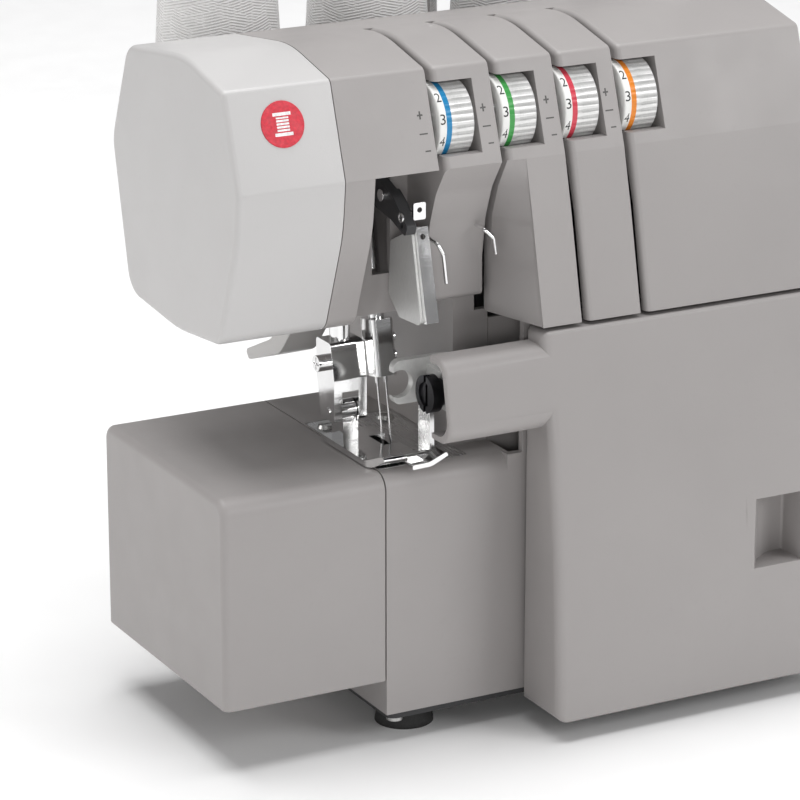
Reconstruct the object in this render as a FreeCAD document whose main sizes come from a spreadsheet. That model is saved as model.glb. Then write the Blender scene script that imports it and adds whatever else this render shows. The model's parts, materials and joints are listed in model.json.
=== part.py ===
import FreeCAD, Part
import math
import os
import re
from types import SimpleNamespace
from FreeCAD import Placement, Rotation, Vector

# Four-thread overlock sewing machine, in millimetres.
# Pieces are drawn in a bench layout: x runs right from the head's left face, y runs back from
# the head's front ridge, z runs up from the table. Every node's Placement then moves the
# layout so that the origin is under the middle of the machine.

SIZES = {
    "shift_x": -139.5,          # bench layout to machine origin
    "shift_y": -68.0,
    "wall": 3.0,                # moulded wall
    "face_width": 43.3,         # white face cover
    "strip_right": 55.6,        # casing strip beside the needle cavity
    "cavity_right": 84.0,       # right wall of the needle cavity
    "slot_one": 82.0,           # left edges of the four thread slots
    "slot_two": 108.5,
    "slot_three": 135.5,
    "slot_four": 161.3,
    "slot_width": 2.8,
    "slot_roll": 2.3,           # rolled edge on each slot's right side
    "body_right": 246.0,
    "front_left": 118.8,        # left edge of the lower front
    "ridge_height": 224.0,      # front ridge above the table
    "seam_height": 162.0,       # gap over the looper cover
    "split_depth": 80.0,        # front and rear casings meet here
    "slot_back": 61.0,
    "dial_radius": 15.0,
    "dial_width": 14.6,
    "dial_depth": 18.3,         # tension dial axis
    "dial_height": 238.5,
    "window_width": 19.0,
    "spindle_radius": 3.0,
    "plate_top": 109.0,         # stitching level
    "plate_thickness": 2.0,
    "bed_left": 60.0,
    "column_left": 99.0,
    "column_front": 20.0,
    "base_bottom": 12.0,
    "rear_depth": 108.0,
    "cover_left": 117.5,
    "cover_bottom": 8.5,
    "cover_wall": 2.6,
    "cover_pivot_depth": -24.0,
    "cover_pivot_height": 16.0,
    "sleeve_left": 75.4,
    "shaft_depth": 52.0,        # main shaft
    "shaft_height": 90.0,
    "shaft_radius": 6.0,
    "motor_depth": 62.0,
    "motor_height": 42.0,
    "needle_x": 76.0,
    "needle_depth": 30.0,
    "needle_lean": 10.0,        # degrees, top leaning back
    "presser_x": 64.0,
    "presser_depth": 46.0,
    "foot_height": 9.0,
    "stand_height": 214.0,      # underside of the thread stand
    "stand_thickness": 8.0,
    "cone_depth": 138.0,
    "cone_first": 58.0,
    "cone_pitch": 66.0,
    "cone_length": 118.0,
    "cone_base_radius": 25.5,
    "cone_top_radius": 18.5,
    "mast_x": 157.0,
    "mast_depth": 152.0,
    "bar_height": 470.0,        # thread guide bar over the cones
}

doc = FreeCAD.newDocument("overlock_machine")
sheet = doc.addObject("Spreadsheet::Sheet", "dims")
for row, (alias, size) in enumerate(SIZES.items(), start=1):
    sheet.set(f"A{row}", alias)
    sheet.set(f"B{row}", str(size))
    sheet.setAlias(f"B{row}", alias)
doc.recompute()
d = SimpleNamespace(**{alias: float(sheet.get(alias)) for alias in SIZES})

SLOTS = {"one": d.slot_one, "two": d.slot_two, "three": d.slot_three, "four": d.slot_four}
PLANES = {"XY": "XY_Plane", "XZ": "XZ_Plane", "YZ": "YZ_Plane"}
X = Vector(1, 0, 0)
Y = Vector(0, 1, 0)
Z = Vector(0, 0, 1)
nodes = []


# ---------------------------------------------------------------- drawing helpers

def bind(feature, prop, amount):
    """Bind a property to sheet cells when the amount is a formula, or set it as a number."""
    if isinstance(amount, str):
        formula = re.sub(r"[a-z_]+", lambda word: "dims." + word.group(0)
                         if word.group(0) in SIZES else word.group(0), amount)
        feature.setExpression(prop, formula)
    else:
        feature.setExpression(prop, repr(float(amount)))


def unit(a, b):
    """Unit vector from point a to point b in a sketch plane."""
    run = math.hypot(b[0] - a[0], b[1] - a[1])
    return ((b[0] - a[0]) / run, (b[1] - a[1]) / run)


def outline(corners):
    """Closed chain of lines; a corner (u, v, r) is rounded with a tangent arc of radius r."""
    count = len(corners)
    legs = []
    for i, corner in enumerate(corners):
        here = corner[:2]
        radius = corner[2] if len(corner) > 2 else 0.0
        back = unit(here, corners[i - 1])
        ahead = unit(here, corners[(i + 1) % count])
        half = math.acos(max(-1.0, min(1.0, back[0] * ahead[0] + back[1] * ahead[1]))) / 2
        if radius == 0.0:
            legs.append((here, None, here))
            continue
        reach = radius / math.tan(half)
        start = (here[0] + back[0] * reach, here[1] + back[1] * reach)
        end = (here[0] + ahead[0] * reach, here[1] + ahead[1] * reach)
        bisector = unit((0, 0), (back[0] + ahead[0], back[1] + ahead[1]))
        sag = radius / math.sin(half) - radius
        middle = (here[0] + bisector[0] * sag, here[1] + bisector[1] * sag)
        legs.append((start, middle, end))
    chain = []
    for i, (start, middle, end) in enumerate(legs):
        if middle is not None:
            chain.append(Part.Arc(Vector(*start, 0), Vector(*middle, 0), Vector(*end, 0)))
        following = legs[(i + 1) % count][0]
        if math.hypot(following[0] - end[0], following[1] - end[1]) > 1e-6:
            chain.append(Part.LineSegment(Vector(*end, 0), Vector(*following, 0)))
    return chain


def circle(u, v, radius):
    """A full circle for a sketch."""
    return Part.Circle(Vector(u, v, 0), Vector(0, 0, 1), radius)


def rectangle(u0, u1, v0, v1, radius=0.0):
    """Corners of a rectangle, all rounded alike."""
    return [(u0, v0, radius), (u1, v0, radius), (u1, v1, radius), (u0, v1, radius)]


def new_body(label):
    """Empty PartDesign body."""
    body = doc.addObject("PartDesign::Body", label)
    body.Label = label
    return body


def sketch_in(body, plane, start, shapes):
    """Sketch on one of the body's own origin planes, moved along the plane's axis to start."""
    support = [f for f in body.Origin.OriginFeatures if f.Role == PLANES[plane]][0]
    sketch = body.newObject("Sketcher::SketchObject", "outline")
    sketch.AttachmentSupport = [(support, "")]
    sketch.MapMode = "FlatFace"
    if plane == "XZ":
        start = f"-({start})"
    bind(sketch, "AttachmentOffset.Base.z", start)
    for shape in shapes:
        if isinstance(shape, list) and isinstance(shape[0], tuple):
            shape = outline(shape)
        sketch.addGeometry(shape, False)
    return sketch


def pad(body, plane, start, length, *shapes):
    """Pad from start along +X (YZ), +Y (XZ) or +Z (XY)."""
    feature = body.newObject("PartDesign::Pad", "pad")
    feature.Profile = sketch_in(body, plane, start, shapes)
    bind(feature, "Length", length)
    feature.Reversed = plane == "XZ"
    return feature


def pocket(body, plane, start, length, *shapes):
    """Pocket from start along +X (YZ), +Y (XZ) or +Z (XY)."""
    feature = body.newObject("PartDesign::Pocket", "pocket")
    feature.Profile = sketch_in(body, plane, start, shapes)
    bind(feature, "Length", length)
    feature.Reversed = plane != "XZ"
    return feature


def loft(body, plane, sections):
    """Ruled loft through (start, corners) sections on parallel planes."""
    sketches = [sketch_in(body, plane, start, [corners]) for start, corners in sections]
    feature = body.newObject("PartDesign::AdditiveLoft", "loft")
    feature.Profile = sketches[0]
    feature.Sections = sketches[1:]
    feature.Ruled = True
    return feature


def round_edges(body, base, radius, chosen):
    """Fillet the edges of base whose every vertex satisfies chosen(point)."""
    doc.recompute()
    names = []
    for i, edge in enumerate(base.Shape.Edges, start=1):
        if all(chosen(vertex.Point) for vertex in edge.Vertexes):
            names.append(f"Edge{i}")
    feature = body.newObject("PartDesign::Fillet", "rounding")
    feature.Base = (base, names)
    bind(feature, "Radius", radius)
    return feature


def box(x0, x1, y0, y1, z0, z1):
    """Box between two corners, each side a number or a formula."""
    solid = doc.addObject("Part::Box", "block")
    bind(solid, "Length", f"({x1})-({x0})")
    bind(solid, "Width", f"({y1})-({y0})")
    bind(solid, "Height", f"({z1})-({z0})")
    bind(solid, "Placement.Base.x", f"{x0}")
    bind(solid, "Placement.Base.y", f"{y0}")
    bind(solid, "Placement.Base.z", f"{z0}")
    return solid


def rod(start, direction, length, radius, top_radius=None):
    """Cylinder, or cone where top_radius is given, from start along direction."""
    kind = "Part::Cylinder" if top_radius is None else "Part::Cone"
    solid = doc.addObject(kind, "rod")
    bind(solid, "Height", length)
    if top_radius is None:
        bind(solid, "Radius", radius)
    else:
        bind(solid, "Radius1", radius)
        bind(solid, "Radius2", top_radius)
    solid.Placement = Placement(Vector(*start), Rotation(Z, Vector(*direction)))
    return solid


def wire_rod(points, radius, bend):
    """Bent round wire: straight runs through points, with tangent arcs of radius bend."""
    path = Part.Wire(wire_edges([Vector(*p) for p in points], bend))
    start = path.Edges[0]
    section = Part.Wire(Part.makeCircle(radius, start.Vertexes[0].Point,
                                        start.tangentAt(start.FirstParameter)))
    solid = doc.addObject("Part::Feature", "wire")
    solid.Shape = path.makePipeShell([section], True, False)
    return solid


def wire_edges(points, bend):
    """Lines and tangent arcs along an open route."""
    edges = []
    last = points[0]
    for before, here, after in zip(points, points[1:], points[2:]):
        back = (before - here).normalize()
        ahead = (after - here).normalize()
        half = back.getAngle(ahead) / 2
        reach = bend / math.tan(half)
        start = here + back * reach
        end = here + ahead * reach
        middle = here + (back + ahead).normalize() * (bend / math.sin(half) - bend)
        edges.append(Part.LineSegment(last, start).toShape())
        edges.append(Part.Arc(start, middle, end).toShape())
        last = end
    edges.append(Part.LineSegment(last, points[-1]).toShape())
    return edges


def fuse(*parts):
    """One solid from several touching shapes."""
    joined = doc.addObject("Part::MultiFuse", "fused")
    joined.Shapes = list(parts)
    joined.Refine = True
    return joined


def cut(base, *tools):
    """Base shape with every tool taken away."""
    result = doc.addObject("Part::Cut", "cut")
    result.Base = base
    result.Tool = tools[0] if len(tools) == 1 else fuse(*tools)
    result.Refine = True
    return result


def group(*parts):
    """Separate solids that share one node."""
    bundle = doc.addObject("Part::Compound", "group")
    bundle.Links = list(parts)
    return bundle


def node(label, solid):
    """Name a finished sub-part and move it from the bench layout to the machine's origin."""
    solid.Label = label
    place = solid.Placement.Base
    bind(solid, "Placement.Base.x", f"shift_x+({place.x})")
    bind(solid, "Placement.Base.y", f"shift_y+({place.y})")
    nodes.append(solid)
    return solid


# ---------------------------------------------------------------- shared outlines (y, z)

def inset(corners, depth):
    """The same convex outline moved inwards by depth, with its radii reduced."""
    count = len(corners)
    area = sum(corners[i - 1][0] * corners[i][1] - corners[i][0] * corners[i - 1][1]
               for i in range(count))
    side = 1.0 if area > 0 else -1.0
    moved = []
    for i, corner in enumerate(corners):
        ahead = unit(corner, corners[(i + 1) % count])
        behind = unit(corners[i - 1], corner)
        normals = [(-side * v[1], side * v[0]) for v in (behind, ahead)]
        spread = 1 + normals[0][0] * normals[1][0] + normals[0][1] * normals[1][1]
        radius = corner[2] if len(corner) > 2 else 0.0
        moved.append((corner[0] + depth * (normals[0][0] + normals[1][0]) / spread,
                      corner[1] + depth * (normals[0][1] + normals[1][1]) / spread,
                      max(0.0, radius - depth)))
    return moved


CREST = (45.0, 267.0)           # highest point of the crowned top
TOP_BACK = (96.0, 261.0)
BOTTOM_MIDDLE = (55.0, 159.6)
BOTTOM_BACK = (98.5, 163.5)
FRONT_UPPER = (12.1, 259.7)
RIDGE = (0.0, d.ridge_height)
REAR_BULGE = (112.0, 222.0)


def along(a, b, y):
    """Height at depth y on the line through a and b."""
    return a[1] + (b[1] - a[1]) * (y - a[0]) / (b[0] - a[0])


def top_at(y):
    """Height of the head's top at a depth."""
    return along(CREST, TOP_BACK, y)


def bottom_at(y):
    """Height of the head's underside at a depth."""
    return along(BOTTOM_MIDDLE, BOTTOM_BACK, y)


HEAD = [(*RIDGE, 3), (*FRONT_UPPER, 3), (*CREST, 60), (*TOP_BACK, 10), (*REAR_BULGE, 18),
        (*BOTTOM_BACK, 12), (*BOTTOM_MIDDLE, 80), (17.5, 163.2, 8), (2.2, 204.0, 60)]
SPLIT_TOP = (d.split_depth, top_at(d.split_depth))
SPLIT_BOTTOM = (d.split_depth, bottom_at(d.split_depth))
HEAD_FRONT = [HEAD[0], HEAD[1], HEAD[2], SPLIT_TOP, SPLIT_BOTTOM, HEAD[6], HEAD[7], HEAD[8]]
UPPER_FRONT = [(0.0, d.ridge_height), HEAD[1], HEAD[2], SPLIT_TOP,
               (d.split_depth, d.ridge_height)]
LOWER_KNEE = (-5.5, 201.8)
SEAM_FRONT = (-14.2, d.seam_height)
RIGHT_FRONT = [(*RIDGE, 3), HEAD[1], HEAD[2], SPLIT_TOP, (d.split_depth, d.seam_height),
               SEAM_FRONT, (*LOWER_KNEE, 60)]
SCOOP = [(14.5, 169.0, 2.0), (14.7, 184.0), (12.4, 200.0, 20.0), (7.5, 213.0, 20.0)]
SECTION_TWO = [(0.0, d.ridge_height), HEAD[1], HEAD[2], SPLIT_TOP, (d.split_depth, 169.0)] + SCOOP


# ---------------------------------------------------------------- upper casings

def face_cover():
    """Hollow white cover on the left end of the head."""
    body = new_body("face_cover")
    shell = pad(body, "YZ", "0", "face_width", HEAD)
    round_edges(body, shell, 2.2, lambda p: p.x < 0.01)
    pocket(body, "YZ", "wall", "face_width", inset(HEAD, d.wall))
    pocket(body, "XY", "150", "14", rectangle(12, 38, 44, 72, 3))
    node("face_cover", body)


def front_edge(point, shell):
    """True on the front and top edges of a section's left face."""
    return (abs(point.x - shell.Shape.BoundBox.XMin) < 0.01
            and (point.y < d.split_depth - 1 or point.z > d.ridge_height + 30)
            and point.z > d.ridge_height - 0.1)


def section(label, left, right, *profiles):
    """One casing section between two slots, with its left edge rolled into the slot."""
    body = new_body(label)
    for start, profile in profiles:
        shell = pad(body, "YZ", start, f"{right}-({start})", profile)
        if start == left:
            round_edges(body, shell, "slot_roll", lambda p: front_edge(p, shell))
    return body


def side_wall():
    """Wall that turns from slot two out to the lower front, as a ruled loft up the height."""
    body = new_body("side_wall")
    left = d.slot_two + d.slot_width
    heights = [(d.seam_height, 14.5), (184.0, 14.7), (200.0, 12.4), (213.0, 7.5),
               (d.ridge_height, 1.0)]
    sections = []
    for height, inner in heights:
        if height < LOWER_KNEE[1]:
            climb = (height - SEAM_FRONT[1]) / (LOWER_KNEE[1] - SEAM_FRONT[1])
            front = SEAM_FRONT[0] + (LOWER_KNEE[0] - SEAM_FRONT[0]) * climb
        else:
            climb = (d.ridge_height - height) / (d.ridge_height - LOWER_KNEE[1])
            front = LOWER_KNEE[0] * climb
        sections.append((height, [(left, inner), (d.front_left + 0.5, front),
                                  (d.front_left + 0.5, 40.0), (left, 40.0)]))
    loft(body, "XY", sections)
    return body


def dial_window(slot):
    """Space round one tension dial, open to the front."""
    left = f"slot_{slot}+slot_width-0.2"
    clear = d.dial_radius + 1.3
    start = (SLOTS[slot] + d.slot_width - 0.2, d.dial_depth, d.dial_height)
    return fuse(rod(start, X, "window_width-2.6", clear),
                box(left, f"slot_{slot}+window_width", "-8", "dial_depth", "228.2", "254.6"))


def upper_front_casing():
    """Front of the head: five sections, the scoop and the wall before the needle bar."""
    first = section("section_one", "", "slot_one", ("face_width+0.3", UPPER_FRONT))
    strip = new_body("strip")
    pad(strip, "YZ", "face_width+0.3", "strip_right-face_width-0.3", HEAD_FRONT)
    second = section("section_two", "slot_one+slot_width", "slot_two",
                     ("slot_one+slot_width", SECTION_TWO))
    third = section("section_three", "slot_two+slot_width", "slot_three",
                    ("slot_two+slot_width", UPPER_FRONT), ("front_left", RIGHT_FRONT))
    fourth = section("section_four", "slot_three+slot_width", "slot_four",
                     ("slot_three+slot_width", RIGHT_FRONT))
    fifth = section("section_five", "slot_four+slot_width", "body_right",
                    ("slot_four+slot_width", RIGHT_FRONT))
    spine = new_body("spine")
    pad(spine, "YZ", "face_width+0.3", "body_right-face_width-0.3",
        [(d.slot_back, d.ridge_height), (d.slot_back, top_at(d.slot_back)), SPLIT_TOP,
         (d.split_depth, d.ridge_height)])
    rear_wall = box("cavity_right", "body_right", "70", "split_depth", "200", "ridge_height+1")
    needle_wall = cut(box("strip_right-1", "cavity_right+1", "30", "32.4", "162.6",
                          "ridge_height"),
                      box("69.6", "77.4", "29", "34", "178", "ridge_height-0.5"))
    shell = fuse(first, strip, second, third, side_wall(), fourth, fifth, spine, rear_wall,
                 needle_wall)
    room = new_body("casing_room")
    pad(room, "YZ", "front_left+2.4", "body_right-wall-front_left-2.4",
        [(-11.0, 160.0), (-2.4, 201.8), (3.6, 219.5), (38.0, 219.5), (38.0, 261.5),
         (81.0, 258.4), (81.0, 160.0)])
    strip_room = new_body("strip_room")
    pad(strip_room, "YZ", "face_width", "strip_right-wall-face_width",
        inset(HEAD_FRONT[:3] + [(81.0, top_at(81.0)), (81.0, bottom_at(81.0))] + HEAD_FRONT[5:],
              d.wall))
    rooms = [
        room,
        strip_room,
        box("strip_right-wall", "cavity_right+1", "24", "81", "223", "258.5"),
        box("face_width", "strip_right", "72", "81", "166", "258"),
        box("cavity_right+wall", "front_left+3", "18", "81", "172", "219"),
        box("cavity_right", "front_left+3", "40", "81", "218", "258.5"),
        box("slot_two", "front_left+3", "18", "81", "150", "180"),
    ]
    windows = [dial_window(slot) for slot in SLOTS]
    bores = [rod((SLOTS[slot] - 6, d.dial_depth, d.dial_height), X, 30, "spindle_radius")
             for slot in SLOTS]
    node("upper_front_casing", cut(shell, *rooms, *windows, *bores))


# ---------------------------------------------------------------- rear casing, base and bed

def rear_casing():
    """Rear shell: behind the head, down the column and behind the bed, open to the front."""
    head = new_body("rear_head")
    pad(head, "YZ", "face_width+0.3", "body_right-face_width-0.3",
        [SPLIT_TOP, HEAD[3], HEAD[4], HEAD[5], SPLIT_BOTTOM])
    column = new_body("rear_column")
    pad(column, "YZ", "column_left", "body_right-column_left",
        [(d.split_depth, d.base_bottom), (d.rear_depth, d.base_bottom, 5),
         (d.rear_depth, 190.0, 20), (106.0, 222.0), (d.split_depth, 230.0)])
    bed = new_body("rear_bed")
    pad(bed, "YZ", "bed_left", "column_left-bed_left+2",
        [(d.split_depth, d.base_bottom), (d.rear_depth, d.base_bottom, 5),
         (d.rear_depth, d.plate_top, 6), (d.split_depth, d.plate_top)])
    head_room = new_body("rear_head_room")
    pad(head_room, "YZ", "face_width", "body_right-wall-face_width",
        inset([(70.0, 264.0), HEAD[3], HEAD[4], HEAD[5], (70.0, 161.0)], d.wall))
    inner_depth = "rear_depth-wall"
    rooms = [
        head_room,
        box("column_left+wall", "body_right-wall", "79", inner_depth, "base_bottom-1", "200"),
        box("bed_left+wall", "column_left+wall+1", "79", inner_depth, "base_bottom-1",
            "plate_top-wall"),
    ]
    inlet = box("body_right-4", "body_right+1", "84", "104", "28", "44")
    node("rear_casing", cut(fuse(head, column, bed), *rooms, inlet))


def base_casing():
    """Front half of the base: bed, column and the frame round the looper chamber."""
    bed = new_body("bed")
    pad(bed, "YZ", "bed_left", "cover_left-bed_left",
        [(0.0, d.base_bottom), (d.split_depth, d.base_bottom),
         (d.split_depth, d.plate_top), (0.0, d.plate_top, 7)])
    lower = box("112", "body_right", "0", "split_depth", "base_bottom", "seam_height-0.4")
    nook = box("column_left", "113", "column_front", "split_depth", "100", "seam_height-0.4")
    nook_top = box("column_left", "slot_two-0.4", "column_front", "split_depth", "150", "168.6")
    rooms = [
        box("bed_left+wall", "114.5", "wall", "split_depth+1", "base_bottom-1", "plate_top-4"),
        box("114", "body_right-wall", "wall", "split_depth+1", "base_bottom-1", "seam_height+1"),
        box("column_left+wall", "116", "column_front+wall", "split_depth+1", "100", "172"),
        box("122", "240", "-1", "wall+1", "16", "156"),
    ]
    plate_seat = box("bed_left+0.7", "column_left-0.2", "7.7", "70.3",
                     "plate_top-plate_thickness", "plate_top+1")
    throat = box("64", "column_left-4", "12", "66", "100", "plate_top")
    shaft_hole = rod((d.body_right - 5, d.shaft_depth, d.shaft_height), X, 8, 8.0)
    sleeve_gap = box("90", "cover_left+1", "-1", "column_front", "plate_top", "seam_height+8")
    dial_holes = [rod((d.body_right - 5, *spot), X, 8, 7.2) for spot in SIDE_DIALS.values()]
    switch_hole = box("body_right-4", "body_right+1", "48.5", "74", "28", "42")
    shell = fuse(bed, cut(lower, sleeve_gap), nook, nook_top, free_arm())
    screw_holes = [rod((x, y, 100.0), Z, 12, 1.6) for x, y in PLATE_SCREWS]
    node("base_casing", cut(shell, *rooms, plate_seat, throat, shaft_hole, switch_hole,
                            *dial_holes, *screw_holes))


def bottom_plate():
    """Plate that closes the base, with the two hinge brackets of the looper cover."""
    body = new_body("plate")
    pad(body, "XY", "base_bottom-3", "3",
        [(d.bed_left + 2, 2.0, 4), (127.0, 2.0), (127.0, -15.0, 3), (238.0, -15.0, 3),
         (238.0, 2.0), (244.0, 2.0), (244.0, 106.0, 4), (d.bed_left + 2, 106.0, 4)])
    pocket(body, "XY", "base_bottom-4", "6", *[circle(x, y, 1.6) for x, y in BASE_SCREWS],
           *[rectangle(x, x + 3, 84, 98, 1.4) for x in range(160, 216, 7)])
    brackets = []
    for x in (146.0, 212.0):
        leg = box(x, x + 4, "-27", "-11", "base_bottom", "cover_pivot_height+4")
        brackets.append(cut(leg, rod((x - 1, d.cover_pivot_depth, d.cover_pivot_height), X, 6,
                                     2.06)))
    node("bottom_plate", fuse(body, *brackets))


def feet():
    """Rubber feet under the base."""
    height = "foot_height"
    feet_list = []
    for x, y in FOOT_PLACES:
        pad_part = rod((x, y, 0), Z, height, 11.5, 10.0)
        feet_list.append(cut(pad_part, rod((x, y, 0), Z, 2.5, 4.5)))
    node("rubber_feet", group(*feet_list))


def base_screws():
    """Screws up through the bottom plate."""
    screws = []
    for x, y in BASE_SCREWS:
        head = rod((x, y, d.base_bottom - 5.2), Z, 2.2, 3.2)
        shank = rod((x, y, d.base_bottom - 3), Z, 4, 1.5)
        slot = box(x - 2.4, x + 2.4, y - 0.4, y + 0.4, d.base_bottom - 5.4, d.base_bottom - 4.2)
        cross = box(x - 0.4, x + 0.4, y - 2.4, y + 2.4, d.base_bottom - 5.4, d.base_bottom - 4.2)
        screws.append(cut(fuse(head, shank), slot, cross))
    return screws


def free_arm():
    """Narrow free arm that the extension table slips over."""
    body = new_body("free_arm")
    pad(body, "YZ", "8", "bed_left-8", rectangle(14, 79.5, 66, 104, 6))
    pocket(body, "YZ", "8+wall", "bed_left", rectangle(17, 76.5, 69, 101, 3))
    return body


def extension_table():
    """Removable bed extension that slips over the free arm from the left."""
    body = new_body("extension_table")
    top = d.plate_top
    shell = pad(body, "YZ", "-8", "bed_left-0.3+8",
                [(0.0, 26.0), (0.0, top, 7), (d.rear_depth, top, 6), (d.rear_depth, 26.0)])
    round_edges(body, shell, "3", lambda p: abs(p.x + 8) < 0.01 and p.z > 27)
    pocket(body, "YZ", "-8+wall", "bed_left+10",
           [(3.0, 20.0), (3.0, top - 3, 4), (d.rear_depth - 3, top - 3, 3),
            (d.rear_depth - 3, 20.0)])
    node("extension_table", body)


SIDE_DIALS = {"stitch_length_dial": (22.0, 140.0), "differential_feed_dial": (16.0, 46.0)}
PLATE_SCREWS = [(66.0, 62.0), (92.0, 62.0)]
BASE_SCREWS = [(67.0, 7.0), (67.0, 101.0), (150.0, 98.0), (236.0, 98.0), (236.0, 10.0)]
FOOT_PLACES = [(78.0, 20.0), (78.0, 88.0), (226.0, 88.0), (226.0, -2.5), (142.0, -2.5)]


def needle_plate():
    """Needle plate with its needle slot, feed slots and knife slot."""
    body = new_body("needle_plate")
    left = d.bed_left + 1
    right = d.column_left - 0.5
    pad(body, "XY", "plate_top-plate_thickness", "plate_thickness",
        [(left, 8.0, 2), (80.3, 8.0), (80.3, 22.0), (83.6, 22.0), (83.6, 8.0),
         (right, 8.0, 2), (right, 70.0, 2), (left, 70.0, 2)])
    pocket(body, "XY", "plate_top-plate_thickness-1", "5",
           rectangle(73.2, 78.8, 26, 38, 1.0),
           rectangle(66, 69, 16, 52, 0.8), rectangle(70.4, 72.4, 26, 52, 0.8),
           *[circle(x, y, 1.6) for x, y in PLATE_SCREWS])
    round_edges(body, body.Tip, "0.4", lambda p: p.z > d.plate_top - 0.01 and (
        p.x < left + 3 or p.x > right - 3))
    node("needle_plate", body)


def plate_screws():
    """Slotted screws that hold the needle plate."""
    screws = []
    for x, y in PLATE_SCREWS:
        head = rod((x, y, d.plate_top), Z, 1.4, 3.6, 3.0)
        slot = box(x - 4, x + 4, y - 0.45, y + 0.45, d.plate_top + 0.7, d.plate_top + 2)
        screws.append(cut(fuse(head, rod((x, y, d.plate_top - 6), Z, 6, 1.5)), slot))
    return screws


def lower_knife():
    """Fixed lower knife and the holder under it."""
    blade = new_body("lower_knife_blade")
    pad(blade, "YZ", "79.4", "0.8",
        [(8.2, 90.0), (20.0, 90.0), (20.0, 104.6), (8.2, 104.6)])
    node("lower_knife", blade)
    holder = fuse(box("74", "79.3", "9", "19", "60", "100"),
                  box("66", "79.3", "9", "60", "54", "60.2"),
                  box("66", "74", "50", "60", "base_bottom+7", "54.2"))
    node("lower_knife_holder", holder)


# ---------------------------------------------------------------- looper cover

COVER_TOP = 160.4


def looper_cover():
    """Front cover with its sleeve over the knife drive, thumb recess and open back."""
    wall = d.cover_wall
    profile = [(-2.0, COVER_TOP, 1.0), (-15.8, COVER_TOP, 1.5), (-24.3, 117.3, 160), (-28.9, 79.0, 200),
               (-32.0, d.cover_bottom, 1.0), (-2.0, d.cover_bottom)]
    shell = new_body("cover_shell")
    front = pad(shell, "YZ", "cover_left", "body_right-cover_left", profile)
    round_edges(shell, front, "4", lambda p: abs(p.x - d.cover_left) < 0.01 and p.y < -10)
    sleeve = new_body("cover_sleeve")
    sleeve_profile = [(-5.0, 155.4), (-16.79, 155.4, 7), (-23.18, 123.0, 9), (-7.0, 123.0)]
    tube = pad(sleeve, "YZ", "sleeve_left", "cover_left-sleeve_left+5", sleeve_profile)
    round_edges(sleeve, tube, "1.2", lambda p: abs(p.x - d.sleeve_left) < 0.01 and p.y < -6.5)
    room = new_body("cover_room")
    pad(room, "YZ", "cover_left+cover_wall", "body_right-cover_left-2*cover_wall",
        [(0.0, COVER_TOP - wall), (-15.8 + wall, COVER_TOP - wall), (-24.3 + wall, 117.3, 160),
         (-28.9 + wall, 79.0, 200), (-32.0 + wall, d.cover_bottom - 1), (0.0, d.cover_bottom - 1)])
    sleeve_room = new_body("sleeve_room")
    pad(sleeve_room, "YZ", "sleeve_left-1", "cover_left-sleeve_left+cover_wall+1.1",
        [(-3.0, 152.9), (-14.6, 152.9, 5), (-20.2, 125.6, 7), (-3.0, 125.6)])
    boss = box("202.5", "231", "-31", "-12", "52.5", "87.5")
    thumb = new_body("thumb_recess")
    pad(thumb, "XY", "56", "28", [(206.0, -34.0), (206.0, -29.5), (212.0, -22.0, 12),
                                  (220.0, -15.5, 14), (228.0, -15.5, 1), (228.0, -34.0)])
    limit = doc.addObject("Part::Common", "boss_inside")
    limit.Base = boss
    hull = new_body("boss_limit")
    pad(hull, "YZ", "200", "34", [(0.0, COVER_TOP), (-15.8, COVER_TOP), (-24.3, 117.3), (-28.9, 79.0),
                                  (-32.0, d.cover_bottom), (0.0, d.cover_bottom)])
    limit.Tool = hull
    hollow = cut(fuse(shell, sleeve), room, sleeve_room)
    lugs = [box(x, x + 4, "-30.6", "-18", "10", "22") for x in (136.0, 222.0)]
    bore = rod((130.0, d.cover_pivot_depth, d.cover_pivot_height), X, 104, 2.06)
    node("looper_cover", cut(fuse(hollow, limit, *lugs), thumb, bore))


def threading_panel():
    """Moulded wall behind the looper chamber, with a ribbed lower edge."""
    panel = box("114.2", "236", "19.5", "21.5", "base_bottom+7.2", "158")
    ribs = [box(x, x + 1.6, "17.9", "19.6", "24", "34") for x in range(134, 230, 12)]
    node("threading_panel", fuse(panel, *ribs))


def cover_hinge_bar():
    """Bar that the looper cover slides and hinges on."""
    bar = rod((121.0, d.cover_pivot_depth, d.cover_pivot_height), X, 118, 2.0)
    node("cover_hinge_bar", bar)


# ---------------------------------------------------------------- frame, shaft and drive

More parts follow.
